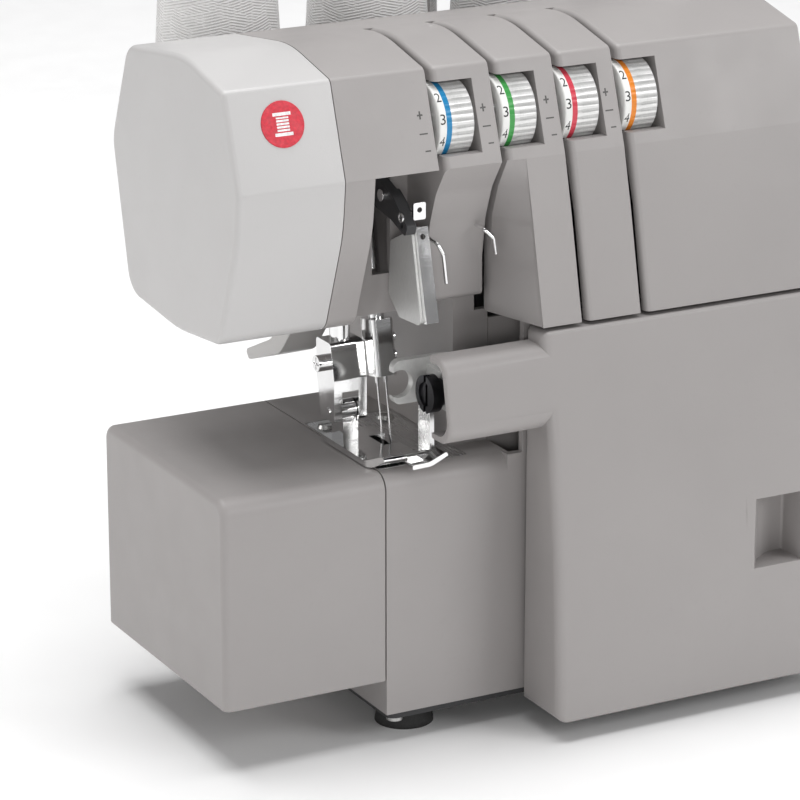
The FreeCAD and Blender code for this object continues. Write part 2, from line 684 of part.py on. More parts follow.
def machine_frame():
    """Cast frame: base slab, rear upright, upper arm, shaft lugs and head lugs."""
    slab = box("66", "238", "8", "78", "base_bottom+1", "base_bottom+7")
    upright = box("106", "238", "88", "98", "base_bottom+1", "238")
    foot = box("66", "238", "77", "98", "base_bottom+1", "base_bottom+7")
    arm = box("62", "238", "70", "97", "232", "240")
    knee = box("106", "238", "70", "89", "226", "233")
    lugs = [box(x, x + 8, 42, 89, 80, 100) for x in (126.0, 214.0)]
    heads = [box("60", "82", "40", "71", "226", "232"),
             box("60", "82", "66", "71", "226", "240")]
    rib = box("160", "168", "60", "89", "base_bottom+1", "60")
    bores = [rod((x - 1, d.shaft_depth, d.shaft_height), X, 10, 8.0) for x in (126.0, 214.0)]
    needle_bore = rod(needle_point(100.0), NEEDLE_AXIS, 60, 3.05)
    presser_bore = rod((d.presser_x, d.presser_depth, 215.0), Z, 30, 4.05)
    motor_room = rod((140.0, d.motor_depth, d.motor_height), X, 100, 26)
    web = box("84", "96", "80", "86", "base_bottom+6", "40")
    looper_bore = rod((90.0, 70.0, 34.0), Y, 30, 4.0)
    frame = cut(fuse(slab, foot, upright, arm, knee, rib, web, *lugs, *heads),
                *bores, needle_bore, presser_bore, looper_bore, motor_room)
    cradle = fuse(box("156", "160", "44", "76", "base_bottom+2", "24"),
                  box("210", "214", "44", "76", "base_bottom+2", "24"))
    motor_seat = rod((140.0, d.motor_depth, d.motor_height), X, 100, 22)
    node("machine_frame", fuse(frame, cut(cradle, motor_seat)))
    bushes = [cut(rod((x, d.shaft_depth, d.shaft_height), X, 8, 8.0),
                  rod((x - 1, d.shaft_depth, d.shaft_height), X, 10, 6.05))
              for x in (126.0, 214.0)]
    node("shaft_bushes", group(*bushes))


def drive():
    """Main shaft, handwheel, motor, pulleys and belt."""
    axis = (d.shaft_depth, d.shaft_height)
    shaft = rod((112.0, *axis), X, 156, "shaft_radius")
    cams = [rod((x, axis[0], axis[1] + 3), X, 8, 13) for x in (140.0, 196.0)]
    node("main_shaft", fuse(shaft, *cams))
    body = new_body("handwheel_rim")
    pad(body, "YZ", "248.5", "22", circle(*axis, 35.0))
    doc.recompute()
    round_edges(body, body.Tip, "3.5", lambda p: True)
    pocket(body, "YZ", "262", "10", circle(*axis, 27.0))
    grip = [rod((247.0, axis[0] + 37.4 * math.cos(a), axis[1] + 37.4 * math.sin(a)), X, 26, 3.4)
            for a in [math.radians(360 / 20 * i) for i in range(20)]]
    hub = rod((260.0, *axis), X, 11, 11.0)
    bore = rod((240.0, *axis), X, 28, "shaft_radius")
    node("handwheel", cut(fuse(cut(body, *grip), hub), bore))
    pulley = cut(rod((229.0, *axis), X, 8, 28.0), rod((228.0, *axis), X, 10, "shaft_radius"),
                 *[rod((228.0, axis[0] + 17 * math.cos(a), axis[1] + 17 * math.sin(a)), X, 10,
                       6.5) for a in [math.radians(60 * i) for i in range(6)]])
    node("shaft_pulley", pulley)
    motor = fuse(rod((152.0, d.motor_depth, d.motor_height), X, 66, 22.0),
                 rod((148.0, d.motor_depth, d.motor_height), X, 74, 9.0))
    spindle_hole = rod((200.0, d.motor_depth, d.motor_height), X, 40, 3.05)
    node("motor", cut(motor, spindle_hole))
    spin = fuse(rod((204.0, d.motor_depth, d.motor_height), X, 33, 3.0),
                rod((228.5, d.motor_depth, d.motor_height), X, 8.5, 8.0))
    node("motor_pulley", spin)
    node("drive_belt", belt())


def belt():
    """Closed belt round both pulleys, on their tangent lines."""
    outer = belt_outline(28.0 + 1.9, 8.0 + 1.9)
    inner = belt_outline(28.0 + 0.1, 8.0 + 0.1)
    body = new_body("belt")
    pad(body, "YZ", "230.5", "5", outer, inner)
    return body


def belt_outline(large, small):
    """Belt line round a large and a small circle, as two arcs and two tangents."""
    y0, z0 = d.shaft_depth, d.shaft_height
    y1, z1 = d.motor_depth, d.motor_height
    run = math.hypot(y1 - y0, z1 - z0)
    heading = math.atan2(z1 - z0, y1 - y0)
    lean = math.acos((large - small) / run)
    spots = []
    for y, z, radius, sweep in ((y0, z0, large, [lean, math.pi, -lean]),
                                (y1, z1, small, [-lean, 0.0, lean])):
        spots += [Vector(y + radius * math.cos(heading + a), z + radius * math.sin(heading + a), 0)
                  for a in sweep]
    arcs = [Part.Arc(*spots[:3]), Part.LineSegment(spots[2], spots[3]), Part.Arc(*spots[3:]),
            Part.LineSegment(spots[5], spots[0])]
    return arcs


# ---------------------------------------------------------------- needle, presser and knives

NEEDLE_SPREAD = 1.8
LEAN = math.radians(d.needle_lean)
NEEDLE_AXIS = Vector(0, math.sin(LEAN), math.cos(LEAN))
CHANNEL_AXIS = Vector(0, math.sin(math.radians(14)), math.cos(math.radians(14)))


def needle_point(distance, x=None):
    """Point on the needle bar's axis, at a distance above the stitching level."""
    return (d.needle_x if x is None else x, d.needle_depth + distance * math.sin(LEAN),
            d.plate_top + distance * math.cos(LEAN))


def needle_group():
    """Needle bar, clamp with its set screws, and the two needles."""
    bar = rod(needle_point(42.0), NEEDLE_AXIS, 88, 3.0)
    node("needle_bar", bar)
    body = new_body("clamp_block")
    pad(body, "XY", "0", "22", rectangle(-4.5, 4.5, -6, 6, 2))
    pocket(body, "XY", "-1", "5", circle(-NEEDLE_SPREAD, 0, 0.85), circle(NEEDLE_SPREAD, 0, 0.85))
    pocket(body, "XY", "14", "10", circle(0, 0, 3.0))
    body.Placement = Placement(Vector(*needle_point(28.0)), Rotation(Z, NEEDLE_AXIS))
    screws = [rod((d.needle_x + 4.4, *needle_point(35.0 + lift)[1:]), X, 2.2, 1.9)
              for lift in (0.0, 7.0)]
    node("needle_clamp", fuse(body, *screws))
    needles = []
    for side in (-NEEDLE_SPREAD, NEEDLE_SPREAD):
        start = needle_point(1.5, d.needle_x + side)
        shaft = rod(start, NEEDLE_AXIS, 26.5, 0.42)
        butt = rod(needle_point(25.0, d.needle_x + side), NEEDLE_AXIS, 7, 0.85)
        tip = rod(needle_point(-2.0, d.needle_x + side), NEEDLE_AXIS, 3.5, 0.06, 0.42)
        needles.append(fuse(shaft, butt, tip))
    node("needles", group(*needles))


def presser_group():
    """Presser bar, foot holder with its screw and pin, and the foot."""
    x, y = d.presser_x, d.presser_depth
    bar = rod((x, y, 142.0), Z, 96, 4.0)
    node("presser_bar", bar)
    body = new_body("holder")
    pad(body, "YZ", "presser_x-7", "14",
        [(37.0, 119.0, 1.5), (37.0, 136.0, 2), (40.0, 150.0, 1.5), (52.0, 150.0, 1.5),
         (52.0, 136.0, 2), (48.0, 119.0, 1.5)])
    pocket(body, "YZ", "presser_x-3.5", "7", [(30.0, 110.0), (30.0, 131.0), (60.0, 131.0),
                                              (60.0, 110.0)])
    pocket(body, "XY", "142", "10", circle(x, y, 4.0))
    pocket(body, "YZ", "presser_x-8", "18", circle(42.0, 122.5, 1.5))
    screw = fuse(rod((x - 10.2, y, 141.0), X, 3.4, 3.2), rod((x - 8, y, 141.0), X, 2, 1.8))
    screw = cut(screw, box(x - 10.8, x - 9.6, y - 2.4, y + 2.4, 140.6, 141.4),
                box(x - 10.8, x - 9.6, y - 0.4, y + 0.4, 138.6, 143.4))
    node("foot_holder", fuse(body, screw, rod((x - 7.4, 42.0, 122.5), X, 14.8, 1.5)))
    foot_parts()


def foot_parts():
    """Presser foot: sole with needle slot and raised toe, neck on the pin, trimming guide tab."""
    top = d.plate_top + 0.5
    sole = new_body("sole_side")
    pad(sole, "YZ", "presser_x-7", "22",
        [(4.0, top + 5.5, 1.2), (2.6, top + 4.0, 0.6), (8.5, top, 8), (46.0, top, 1),
         (48.5, top + 1.4, 0.5), (47.5, top + 2.4, 0.5), (12.0, top + 2.2, 8)])
    plan = new_body("sole_plan")
    pad(plan, "XY", "100", "30", [(57.0, 50.0, 2), (57.0, 12.0, 4), (61.0, 2.0, 3),
                                  (78.8, 2.0, 3), (78.8, 50.0, 2)])
    shape = doc.addObject("Part::Common", "sole")
    shape.Base = sole
    shape.Tool = plan
    neck = fuse(box("presser_x-3.2", "presser_x+3.2", "37", "46.5", "plate_top+1.6", "119"),
                rod((d.presser_x - 3.2, 42.0, 122.5), X, 6.4, 4.0),
                box("presser_x-3.2", "presser_x+3.2", "39", "45.6", "116", "122.5"))
    tab = new_body("guide_tab")
    pad(tab, "XZ", "-4", "7", [(69.0, top + 3.2, 0.6), (76.0, top + 3.4, 6),
                               (83.4, top + 6.4, 0.7), (84.2, top + 4.9, 0.5),
                               (77.0, top + 1.7, 6), (69.0, top + 1.4, 0.5)])
    slot = box("needle_x-4.2", "needle_x+4.4", "25", "37", "105", "120")
    pin_hole = rod((d.presser_x - 10, 42.0, 122.5), X, 30, 1.56)
    arms = box("70", "78.5", "1.8", "8", top + 2.0, top + 4.6)
    link = cut(fuse(shape, neck, tab, arms), slot, pin_hole)
    node("presser_foot", link)


def lifter():
    """Curved presser foot lever behind the head."""
    body = new_body("lever")
    pad(body, "YZ", "57", "16",
        [(66.0, 170.0, 4), (62.0, 163.0, 3), (70.0, 150.0, 10), (84.0, 134.0, 14),
         (112.0, 124.0, 2.0), (115.0, 127.6, 1.5), (92.0, 138.0, 16), (78.0, 152.0, 12),
         (72.0, 169.0, 3)])
    hole = rod((50.0, 67.5, 164.5), X, 30, 2.06)
    node("presser_foot_lifter", cut(body, hole))
    return rod((d.strip_right, 67.5, 164.5), X, d.cavity_right - d.strip_right, 2.0)


def knife_drive():
    """Upper knife, its arm with the notched end, and its clamp screw."""
    blade = new_body("blade")
    pad(blade, "YZ", "80.5", "2.0",
        [(3.9, 114.4), (8.6, 113.4), (13.2, 111.4), (13.6, 133.6), (4.3, 133.6)])
    node("upper_knife", blade)
    arm = new_body("arm")
    pad(arm, "XZ", "7", "3.4", [(66.6, 133.6, 3), (112.0, 133.6, 2), (112.0, 148.0, 3),
                                (86.0, 150.6, 4), (66.6, 150.6, 3)])
    pocket(arm, "XZ", "6", "6", circle(69.4, 141.6, 5.4))
    clamp = box("80.5", "86", "-11", "7.2", "133.6", "147.6")
    rear = box("104", "112", "10.2", "19", "135", "146")
    node("knife_arm", fuse(arm, clamp, rear))
    depth, height = -4.6, 140.2
    head = rod((73.6, depth, height), X, 4.2, 7.2)
    dish = rod((73.0, depth, height), X, 1.4, 4.6)
    driver_slot = box("73", "75.6", depth - 0.8, depth + 0.8, height - 8, height + 8)
    neck = rod((76.0, depth, height), X, 4.5, 5.2)
    node("knife_clamp_screw", cut(fuse(head, neck), dish, driver_slot))


def loopers():
    """Two loopers that rock on shafts running front to back under the plate."""
    lower_hub = cut(rod((106.0, 28.0, 40.0), Y, 8, 7.0), rod((106.0, 20.0, 40.0), Y, 30, 4.05))
    lower = new_body("lower_blade")
    pad(lower, "XZ", "30", "3",
        [(102.5, 44.0), (109.5, 44.0), (106.0, 86.0, 6), (98.0, 94.0, 5), (84.0, 96.0, 0.5),
         (84.0, 95.0, 0.4), (97.0, 90.5, 4), (101.0, 84.0, 5)])
    node("lower_looper", fuse(lower_hub, lower))
    upper_hub = cut(rod((90.0, 40.0, 34.0), Y, 8, 7.0), rod((90.0, 30.0, 34.0), Y, 30, 4.05))
    upper = new_body("upper_blade")
    pad(upper, "XZ", "42", "3",
        [(86.5, 38.0), (93.5, 38.0), (95.0, 76.0, 8), (92.0, 92.0, 6), (84.0, 103.5, 0.5),
         (83.2, 103.0, 0.4), (87.4, 90.0, 5), (89.0, 76.0, 8)])
    node("upper_looper", fuse(upper_hub, upper))
    shafts = [rod((106.0, 27.0, 40.0), Y, 61, 4.0), rod((90.0, 39.0, 34.0), Y, 44, 4.0)]
    node("looper_shafts", group(*shafts))


def feed_dogs():
    """Main and differential feed dogs with their carriers."""
    for label, x0, x1, y0 in (("main_feed_dog", 66.5, 68.5, 17.0),
                              ("differential_feed_dog", 70.9, 71.9, 27.0)):
        body = new_body(label + "_teeth")
        teeth = [(y0, 98.0), (50.0, 98.0)]
        count = int((50.0 - y0) / 1.5)
        for i in range(count):
            y = 50.0 - i * (50.0 - y0) / count
            teeth += [(y, 107.6), (y - (50.0 - y0) / count * 0.6, 106.8)]
        teeth.append((y0, 107.6))
        pad(body, "YZ", f"{x0}", f"{x1 - x0}", teeth)
        node(label, body)


def take_up():
    """Take-up lever with its spur, and the pin that it swings on."""
    body = new_body("take_up")
    pad(body, "YZ", "70.3", "4",
        [(41.5, 217.0, 2.5), (36.0, 220.0, 4), (14.0, 212.0, 6), (3.0, 203.0, 1.5),
         (4.5, 199.0, 1.5), (16.0, 203.0, 6), (28.0, 205.0, 6), (41.5, 209.0, 2.5)])
    pocket(body, "YZ", "70", "5", circle(38.0, 214.0, 2.05), circle(7.5, 202.6, 1.1))
    spur = new_body("spur")
    pad(spur, "YZ", "73.8", "1.9", [(20.0, 214.0, 2), (10.0, 208.0, 3), (13.0, 200.5, 1),
                                    (17.0, 200.5, 1), (16.0, 205.0, 2), (24.0, 209.0, 2)])
    node("take_up_lever", fuse(body, spur))
    return rod((d.strip_right, 38.0, 214.0), X, 24, 2.0)


# ---------------------------------------------------------------- thread path

def tension_sets():
    """Spindle, discs and dial of each thread tension."""
    spindles = []
    discs = []
    for slot, left in SLOTS.items():
        centre = (d.dial_depth, d.dial_height)
        spindles.append(rod((left - 6, *centre), X, 28, "spindle_radius"))
        for offset in (0.25, 0.95):
            disc = rod((left + offset, *centre), X, 0.4, 9.5)
            discs.append(cut(disc, rod((left - 1, *centre), X, 4, 3.05)))
        dial(slot, left)
    node("tension_spindles", group(*spindles))
    node("tension_discs", group(*discs))


DIAL_GAP = 2.1                  # from a slot's left edge to its dial


def dial(slot, left):
    """Tension dial: flat number band on the left, ribbed drum on the right."""
    centre = (d.dial_depth, d.dial_height)
    body = new_body("drum")
    start = left + DIAL_GAP
    base = pad(body, "YZ", f"slot_{slot}+{DIAL_GAP}", "dial_width",
               circle(*centre, d.dial_radius))
    round_edges(body, base, "0.6", lambda p: True)
    bore = rod((start - 1, *centre), X, 20, 3.05)
    grooves = [rod((start + 7.2, centre[0] + 15.5 * math.cos(a), centre[1] + 15.5 * math.sin(a)),
                   X, 12, 0.9)
               for a in [math.radians(10 * i) for i in range(36)]]
    node(f"tension_dial_{slot}", cut(body, bore, *grooves))


def thread_guides():
    """Guard plate, channel guide, square guide and two wire hooks by the needle."""
    guard = new_body("guard")
    pad(guard, "YZ", "74.6", "1.2", [(8.0, 200.2, 1), (0.4, 166.4, 1), (2.8, 164.8, 1),
                                     (17.4, 164.1, 2), (26.3, 171.3, 2), (24.7, 192.5, 2),
                                     (12.0, 198.6, 2)])
    tab = box("74.6", "slot_one+slot_width", "17", "21", "186", "191")
    node("thread_guard_plate", fuse(guard, tab))
    channel = new_body("channel")
    pad(channel, "XY", "0", "36",
        [(-2.6, 0.0), (2.6, 0.0), (2.6, 3.6), (1.9, 3.6), (1.9, 0.8), (-1.9, 0.8), (-1.9, 3.6),
         (-2.6, 3.6)])
    pocket(channel, "XZ", "-1", "3", circle(0.0, 32.4, 1.1))
    channel.Placement = Placement(Vector(78.4, -2.0, 166.4), Rotation(Z, CHANNEL_AXIS))
    rivet = rod((75.9, 5.2, 189.0), X, 5.0, 0.8)
    node("thread_channel_guide", fuse(channel, rivet))
    clip = new_body("clip")
    pad(clip, "XZ", "8.6", "1", rectangle(75.9, 81.1, 203.6, 210.2, 0.8))
    pocket(clip, "XZ", "7.6", "3", circle(78.5, 207.4, 1.0))
    hooks = [
        fuse(clip, rod((79.4, 9.0, 205.0), Y, 21.6, 0.8)),
        wire_rod([(84.8, 16.0, 195.0), (84.8, 6.4, 194.2), (86.6, 5.0, 190.0),
                  (88.7, 6.4, 178.4)], 0.75, 1.6),
        wire_rod([(104.6, 14.0, 197.6), (104.6, 6.4, 197.2), (108.2, 5.2, 193.4),
                  (109.9, 6.6, 187.0)], 0.75, 1.6),
    ]
    node("wire_thread_guides", group(*hooks))


def lamp():
    """Lens of the work lamp under the head."""
    lens = new_body("lens")
    pad(lens, "XY", "158.4", "3.4", rectangle(12.4, 37.6, 44.4, 71.6, 2.7))
    node("lamp_lens", lens)


# ---------------------------------------------------------------- controls on the right side

def controls():
    """Dials, power switch and mains inlet on the right side."""
    for label, (depth, height) in SIDE_DIALS.items():
        body = new_body(label + "_knob")
        base = pad(body, "YZ", "body_right+0.4", "9", circle(depth, height, 12.0))
        round_edges(body, base, "1", lambda p: True)
        grooves = [rod((d.body_right + 3, depth + 12.4 * math.cos(a),
                        height + 12.4 * math.sin(a)), X, 10, 1.0)
                   for a in [math.radians(15 * i) for i in range(24)]]
        stem = rod((d.body_right - 7, depth, height), X, 8, 7.14)
        node(label, fuse(cut(body, *grooves), stem))
    rocker = new_body("rocker")
    pad(rocker, "XY", "29", "12", [(d.body_right - 7, 61.0, 3), (d.body_right + 0.8, 51.0, 0.6),
                                   (d.body_right + 1.6, 61.0), (d.body_right + 3.6, 70.6, 0.6)])
    node("power_switch", rocker)
    inlet = cut(box("body_right-7.5", "body_right+0.8", "84.4", "103.6", "28.4", "43.6"),
                box("body_right-5.5", "body_right+2", "87", "101", "31", "41"))
    pins = [box("body_right-6", "body_right-1", y, y + 1.6, z, z + 3.4)
            for y, z in ((89.5, 34.3), (96.9, 34.3))]
    node("power_inlet", fuse(inlet, *pins))


# ---------------------------------------------------------------- thread stand

def thread_stand():
    """Shelf behind the head with spool pins, cone holders and thread cones."""
    plate = new_body("stand")
    last = d.cone_first + 3 * d.cone_pitch
    shell = pad(plate, "XY", "stand_height", "stand_thickness",
                [(28.0, 114.0, 8), (last + 29, 114.0, 8), (last + 29, 166.0, 24),
                 (28.0, 166.0, 24)])
    round_edges(plate, shell, "2", lambda p: p.z > d.stand_height + d.stand_thickness - 0.01)
    pocket(plate, "XY", "stand_height-1", "stand_thickness-wall+1",
           [(31.0, 117.0, 6), (last + 26, 117.0, 6), (last + 26, 163.0, 21), (31.0, 163.0, 21)])
    bosses = [rod((cone_x(i), d.cone_depth, d.stand_height), Z, "stand_thickness", 5.0)
              for i in range(4)]
    mast_boss = rod((d.mast_x, d.mast_depth, d.stand_height), Z, "stand_thickness", 9.0)
    legs = [box(x, x + 10, "rear_depth+0.2", "118", "stand_height-20", "stand_height+1")
            for x in (120.0, 200.0)]
    mast_hole = rod((d.mast_x, d.mast_depth, d.stand_height + 3), Z, 8, 6.0)
    bulge = new_body("bulge_room")
    pad(bulge, "YZ", "40", "220", [(90.0, 150.0), (90.0, 260.0), (100.0, 260.0),
                                   (REAR_BULGE[0] + 0.2, REAR_BULGE[1] + 2, 18),
                                   (REAR_BULGE[0] - 1, 190.0)])
    pins = [rod((cone_x(i), d.cone_depth, d.stand_height + 3), Z, 62, 2.5, 2.2) for i in range(4)]
    node("thread_stand", cut(fuse(plate, *bosses, mast_boss, *legs, *pins), mast_hole, bulge))
    seat = d.stand_height + d.stand_thickness
    holders = []
    cones = []
    for i in range(4):
        spot = (cone_x(i), d.cone_depth)
        star = fuse(rod((*spot, seat), Z, 2, 22.0), rod((*spot, seat + 2), Z, 26, 13.0, 7.0))
        holders.append(cut(star, rod((*spot, seat - 1), Z, 40, 2.6)))
        yarn = rod((*spot, seat + 2.2), Z, "cone_length", "cone_base_radius", "cone_top_radius")
        core = rod((*spot, seat + 1), Z, d.cone_length + 4, 15.0, 8.6)
        tube = cut(rod((*spot, seat + 2.2), Z, d.cone_length + 9, 15.0, 8.2),
                   rod((*spot, seat + 1), Z, d.cone_length + 12, 13.9, 6.9))
        cones.append(fuse(cut(yarn, core), tube))
    node("cone_holders", group(*holders))
    node("thread_cones", group(*cones))


def cone_x(index):
    """Middle of one cone along the machine."""
    return d.cone_first + index * d.cone_pitch


def mast():
    """Telescopic mast in three stages, and its bar of thread guides over the cones."""
    foot = d.stand_height + 3
    outer = cut(rod((d.mast_x, d.mast_depth, foot), Z, 110, 6.0),
                rod((d.mast_x, d.mast_depth, foot + 2), Z, 110, 4.9))
    node("mast_outer_tube", outer)
    middle = cut(rod((d.mast_x, d.mast_depth, foot + 62), Z, 108, 4.85),
                 rod((d.mast_x, d.mast_depth, foot + 64), Z, 110, 3.6))
    node("mast_middle_tube", middle)
    inner = rod((d.mast_x, d.mast_depth, foot + 122), Z, d.bar_height - foot - 124, 3.55)
    node("mast_inner_rod", inner)
    bar_bottom = d.bar_height - 3
    body = new_body("bar")
    shell = pad(body, "XY", f"{bar_bottom}", "6",
                [(cone_x(0) - 12, 134.0, 4), (cone_x(3) + 12, 134.0, 4),
                 (cone_x(3) + 12, 143.0, 4), (d.mast_x + 14, 160.0, 4),
                 (d.mast_x - 14, 160.0, 4), (cone_x(0) - 12, 143.0, 4)])
    round_edges(body, shell, "1.2", lambda p: p.z > bar_bottom + 5.9)
    pocket(body, "XY", f"{bar_bottom - 1}", "8", circle(d.mast_x, d.mast_depth, 3.55),
           *[circle(cone_x(i), d.cone_depth, 2.6) for i in range(4)])
    node("thread_guide_bar", body)


face_cover()
upper_front_casing()
rear_casing()
base_casing()
bottom_plate()
feet()
extension_table()
needle_plate()
node("casing_screws", group(*base_screws(), *plate_screws()))
lower_knife()
looper_cover()
threading_panel()
cover_hinge_bar()
machine_frame()
drive()
needle_group()
presser_group()
knife_drive()
loopers()
feed_dogs()
node("head_pivot_pins", group(lifter(), take_up()))
tension_sets()
thread_guides()
lamp()
controls()
thread_stand()
mast()

doc.recompute()
os.makedirs("parts", exist_ok=True)
for item in doc.Objects:
    if "Invalid" in item.State or "Error" in item.State:
        raise RuntimeError(f"{item.Label} ({item.Name}) failed: {item.State}")
for item in nodes:
    shape = item.Shape
    if shape.isNull() or not shape.isValid() or not shape.Solids:
        raise RuntimeError(f"{item.Label} has no valid solid")
    print(item.Label, len(shape.Solids), round(shape.Volume), shape.BoundBox)
    shape.exportStep(os.path.join("parts", f"{item.Label}.step"))
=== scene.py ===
import json
import math

import bmesh
import bpy
from mathutils import Matrix, Vector


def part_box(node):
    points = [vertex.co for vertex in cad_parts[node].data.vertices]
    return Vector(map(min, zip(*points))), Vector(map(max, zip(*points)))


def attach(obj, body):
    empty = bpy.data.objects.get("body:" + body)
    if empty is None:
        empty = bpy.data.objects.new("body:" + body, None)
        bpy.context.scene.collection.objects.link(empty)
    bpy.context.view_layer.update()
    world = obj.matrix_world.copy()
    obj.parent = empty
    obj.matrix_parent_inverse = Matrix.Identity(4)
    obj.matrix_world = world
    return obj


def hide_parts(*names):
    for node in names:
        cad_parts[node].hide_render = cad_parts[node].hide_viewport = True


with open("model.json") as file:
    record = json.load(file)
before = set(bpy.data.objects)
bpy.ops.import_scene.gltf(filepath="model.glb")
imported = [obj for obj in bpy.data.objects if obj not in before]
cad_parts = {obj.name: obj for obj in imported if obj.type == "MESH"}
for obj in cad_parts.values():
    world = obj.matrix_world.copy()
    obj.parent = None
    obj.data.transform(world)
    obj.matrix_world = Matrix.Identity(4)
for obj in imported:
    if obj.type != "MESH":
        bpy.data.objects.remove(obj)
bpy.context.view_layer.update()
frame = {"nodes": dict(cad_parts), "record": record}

NODES = frame["nodes"]
MM = 0.001

# ------------------------------------------------------------------ camera, light and floor

CAMERA_AZIMUTH = math.radians(28)      # the camera stands in front and to the left
CAMERA_ELEVATION = math.radians(18)
CAMERA_PLACE = Vector((-0.6888, -1.2246, 0.5635))
CAMERA_LENS = 166.5
CAMERA_REACH = 20.0                    # far clipping distance

FLOOR_SIZE = 30.0
FLOOR_CELLS = 8                        # along each side

SKY_COLOUR = (0.95, 0.95, 0.96, 1)
SKY_STRENGTH = 0.25
PURE_WHITE = (1.0, 1.0, 1.0)

# name: place, aim, (width, height), power, colour
SOFTBOXES = {
    "side_softbox": ((-2.2, 0.6, 0.75), (0, 0.05, 0.2), (1.0, 1.2), 10, (1.0, 0.975, 0.955)),
    "front_softbox": ((1.5, -2.05, 1.3), (0, 0, 0.15), (1.2, 1.1), 23, PURE_WHITE),
    "fill_softbox": ((-0.95, -1.8, 0.5), (0, 0, 0.15), (0.5, 0.4), 6.5, (1.0, 0.99, 0.98)),
    "top_softbox": ((0.0, 0.3, 3.2), (0, 0, 0.2), (2.6, 2.6), 110, PURE_WHITE),
}


def make_camera():
    """Camera at the photographed viewing angle."""
    right = Vector((math.cos(CAMERA_AZIMUTH), -math.sin(CAMERA_AZIMUTH), 0))
    ahead = Vector((math.sin(CAMERA_AZIMUTH) * math.cos(CAMERA_ELEVATION),
                    math.cos(CAMERA_AZIMUTH) * math.cos(CAMERA_ELEVATION),
                    -math.sin(CAMERA_ELEVATION)))
    up = right.cross(ahead)
    data = bpy.data.cameras.new("photo_camera")
    data.lens = CAMERA_LENS
    data.clip_end = CAMERA_REACH
    camera = bpy.data.objects.new("photo_camera", data)
    turn = Matrix((right, up, -ahead)).transposed().to_4x4()
    camera.matrix_world = Matrix.Translation(CAMERA_PLACE) @ turn
    bpy.context.scene.collection.objects.link(camera)
    bpy.context.scene.camera = camera


def softbox(name, place, aim, size, power, colour):
    """Rectangular area light that points from place to aim."""
    data = bpy.data.lights.new(name, "AREA")
    data.shape = "RECTANGLE"
    data.size, data.size_y = size
    data.energy = power
    data.color = colour
    light = bpy.data.objects.new(name, data)
    light.location = place
    light.rotation_euler = (Vector(aim) - Vector(place)).to_track_quat("-Z", "Y").to_euler()
    bpy.context.scene.collection.objects.link(light)


def make_studio():
    """Soft light from the front, the left and above, in a pale grey surround."""
    for name, settings in SOFTBOXES.items():
        softbox(name, *settings)
    world = bpy.data.worlds.new("studio")
    world.use_nodes = True
    sky = world.node_tree.nodes["Background"]
    sky.inputs["Color"].default_value = SKY_COLOUR
    sky.inputs["Strength"].default_value = SKY_STRENGTH
    bpy.context.scene.world = world
    bpy.context.scene.view_settings.view_transform = "Standard"


def add_floor():
    """Pale paper floor that runs out of sight."""
    work = bmesh.new()
    bmesh.ops.create_grid(work, x_segments=FLOOR_CELLS, y_segments=FLOOR_CELLS,
                          size=FLOOR_SIZE / 2)
    mesh = bpy.data.meshes.new("floor")
    work.to_mesh(mesh)
    work.free()
    mesh.materials.append(floor_material())
    floor = bpy.data.objects.new("floor", mesh)
    bpy.context.scene.collection.objects.link(floor)


# ------------------------------------------------------------------ material tools

YARN_PITCH = 1.15 * MM                 # climb of the yarn pattern
YARN_STARTS = 30                       # strands round the cone
BAND_WIDTH = 2.9 * MM                  # number band of a tension dial
STRIPE_END = 5.1 * MM                  # its coloured stripe ends here
DRUM_END = 40 * MM                     # past the dial's right side


